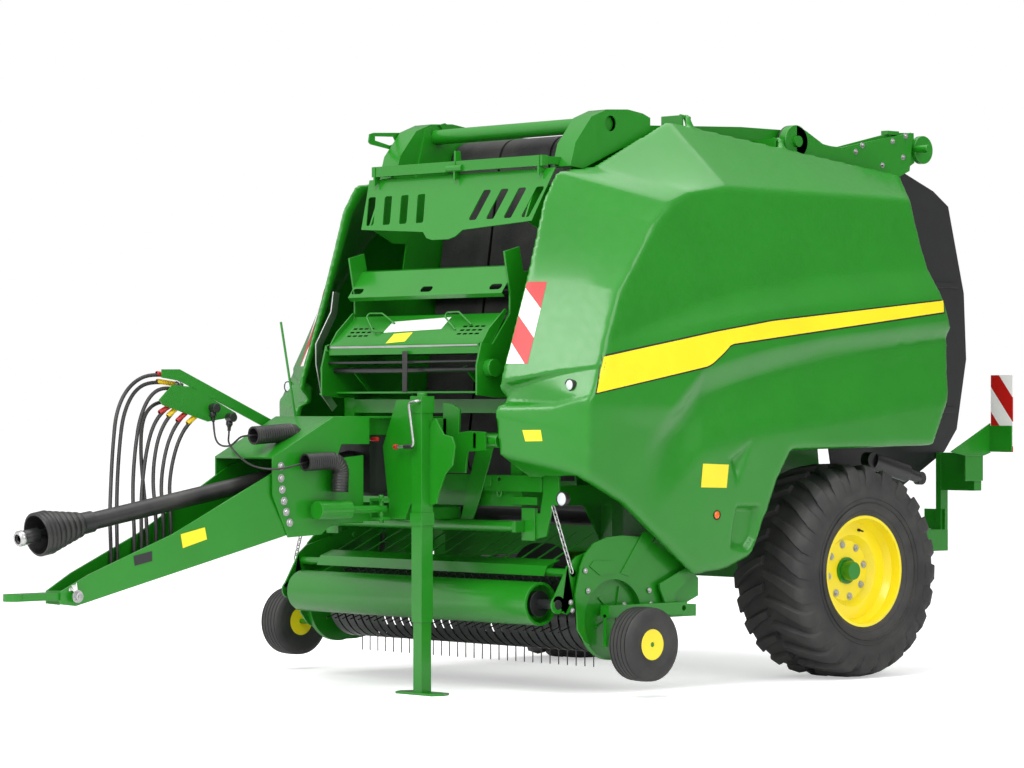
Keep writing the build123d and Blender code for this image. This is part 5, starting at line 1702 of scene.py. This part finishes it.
for side, name in SIDES:
    skin, panel = panel_skins[name], name + "_panel"
    plate(name + "_side_sign", skin, [(side * SKIN_DISTANCE, AXLE_Y + y, z) for y, z in (
        (-1.195, 1.144), (-1.014, 1.137), (-1.022, 1.019), (-1.202, 1.024))], panel, yellow,
        (-side, 0, 0))
    plate(name + "_front_sign", skin, [(side * x, AXLE_Y - 2.9, z) for x, z in (
        (0.905, 1.316), (0.990, 1.317), (0.995, 1.262), (0.915, 1.260))], panel, yellow, (0, 1, 0))
for tag, material, corners in (
        ("sign", yellow, ((-3.688, 0.818), (-3.555, 0.849), (-3.543, 0.791), (-3.676, 0.751))),
        ("plate", black, ((-3.944, 0.720), (-3.843, 0.741), (-3.843, 0.693), (-3.938, 0.672))),
        ("tab", white_film, ((-4.288, 0.594), (-4.247, 0.602), (-4.247, 0.569), (-4.288, 0.561)))):
    plate("drawbar_" + tag, FORK_SKIN, [(0.5, AXLE_Y + y, z) for y, z in corners], "frame", material,
          (-1, 0, 0))
for tag, material, corners in (
        ("white_plate", white_film, ((-0.246, 1.872), (0.191, 1.890), (0.191, 1.828), (-0.246, 1.815))),
        ("sign", yellow, ((-0.150, 1.808), (-0.010, 1.814), (-0.010, 1.766), (-0.150, 1.758)))):
    plate("cover_" + tag, COVER_SKIN, [(x, AXLE_Y - 2.6, z) for x, z in corners], "net_cover",
          material, (0, 1, 0))


# Chains that hold the pickup up on the road: short-link, bent from round wire and zinc plated, each
# link turned a quarter from the last.
LINK_PITCH, LINK_WIRE = 0.030, 0.0064
LINK_HALF_WIDTH, LINK_HALF_ROUND, LINK_STRAIGHT = 0.0095, 0.0115, 0.009


def chain_link():
    """Oval link of round wire about the origin, its length along X and its width along Y."""
    form = bmesh.new()
    rings = []
    for i in range(20):
        t = 2 * pi * i / 20
        spoke = Vector((cos(t), sin(t), 0))
        end = LINK_STRAIGHT * max(-1, min(1, cos(t) * 3))
        core = Vector((LINK_HALF_ROUND * cos(t) + end, LINK_HALF_WIDTH * sin(t), 0))
        rings.append([form.verts.new(core + (spoke * cos(u) + Vector((0, 0, sin(u)))) * LINK_WIRE / 2)
                      for u in (2 * pi * j / 8 for j in range(8))])
    skin_rings(form, rings + rings[:1])
    return form


for side, name in SIDES:
    top = Vector((side * 0.954, AXLE_Y - 1.990, 0.937))
    foot = Vector((side * 1.080, AXLE_Y - 1.980, 0.613))
    links = round((foot - top).length / LINK_PITCH)
    middles = [top.lerp(foot, (k + 0.5) / links) for k in range(links)]
    hang = Vector((1, 0, 0)).rotation_difference((foot - top).normalized()).to_euler()
    repeated(name + "_pickup_chain", chain_link(), middles, "frame", zinc, hang,
             (pi / 2, 0, 0), 180)


# Two wire handles of the net cover, bent from rod and painted green, and the black rubber strap
# that pulls it shut.
HANDLE_D, HANDLE_BEND, HANDLE_STAND = 9, 16, 26
COVER_TOP_Y = -2005         # where a handle's point lies past the edge of the cover
for name, route in (("right_cover_handle", ((-0.213, 1.862), (-0.302, 1.917), (-0.441, 1.919),
                                            (-0.309, 1.823), (-0.247, 1.820))),
                    ("left_cover_handle", ((0.310, 1.822), (0.165, 1.912), (0.297, 1.914),
                                           (0.402, 1.847)))):
    points = []
    for i, (x, z) in enumerate(route):
        hit = COVER_SKIN.ray_cast(Vector((x, AXLE_Y - 2.6, z)), Vector((0, 1, 0)))[0]
        y = (hit.y - AXLE_Y) * 1000 if hit else COVER_TOP_Y
        stand = 4 if i in (0, len(route) - 1) else HANDLE_STAND
        points.append((x * 1000, y - stand, z * 1000))
    handle = bent_rod(points, HANDLE_D, [HANDLE_BEND] * (len(points) - 2))
    welded(name, handle, "net_cover", "green", green)
strap = block((19, 57), (-2172, -2167), (1505, 1716))
welded("cover_strap", strap, "net_cover", "black", moulded)

# The two objects that did the cutting aren't pieces of the machine.
bpy.data.objects.remove(cut_host)
bpy.data.objects.remove(cut_tool)
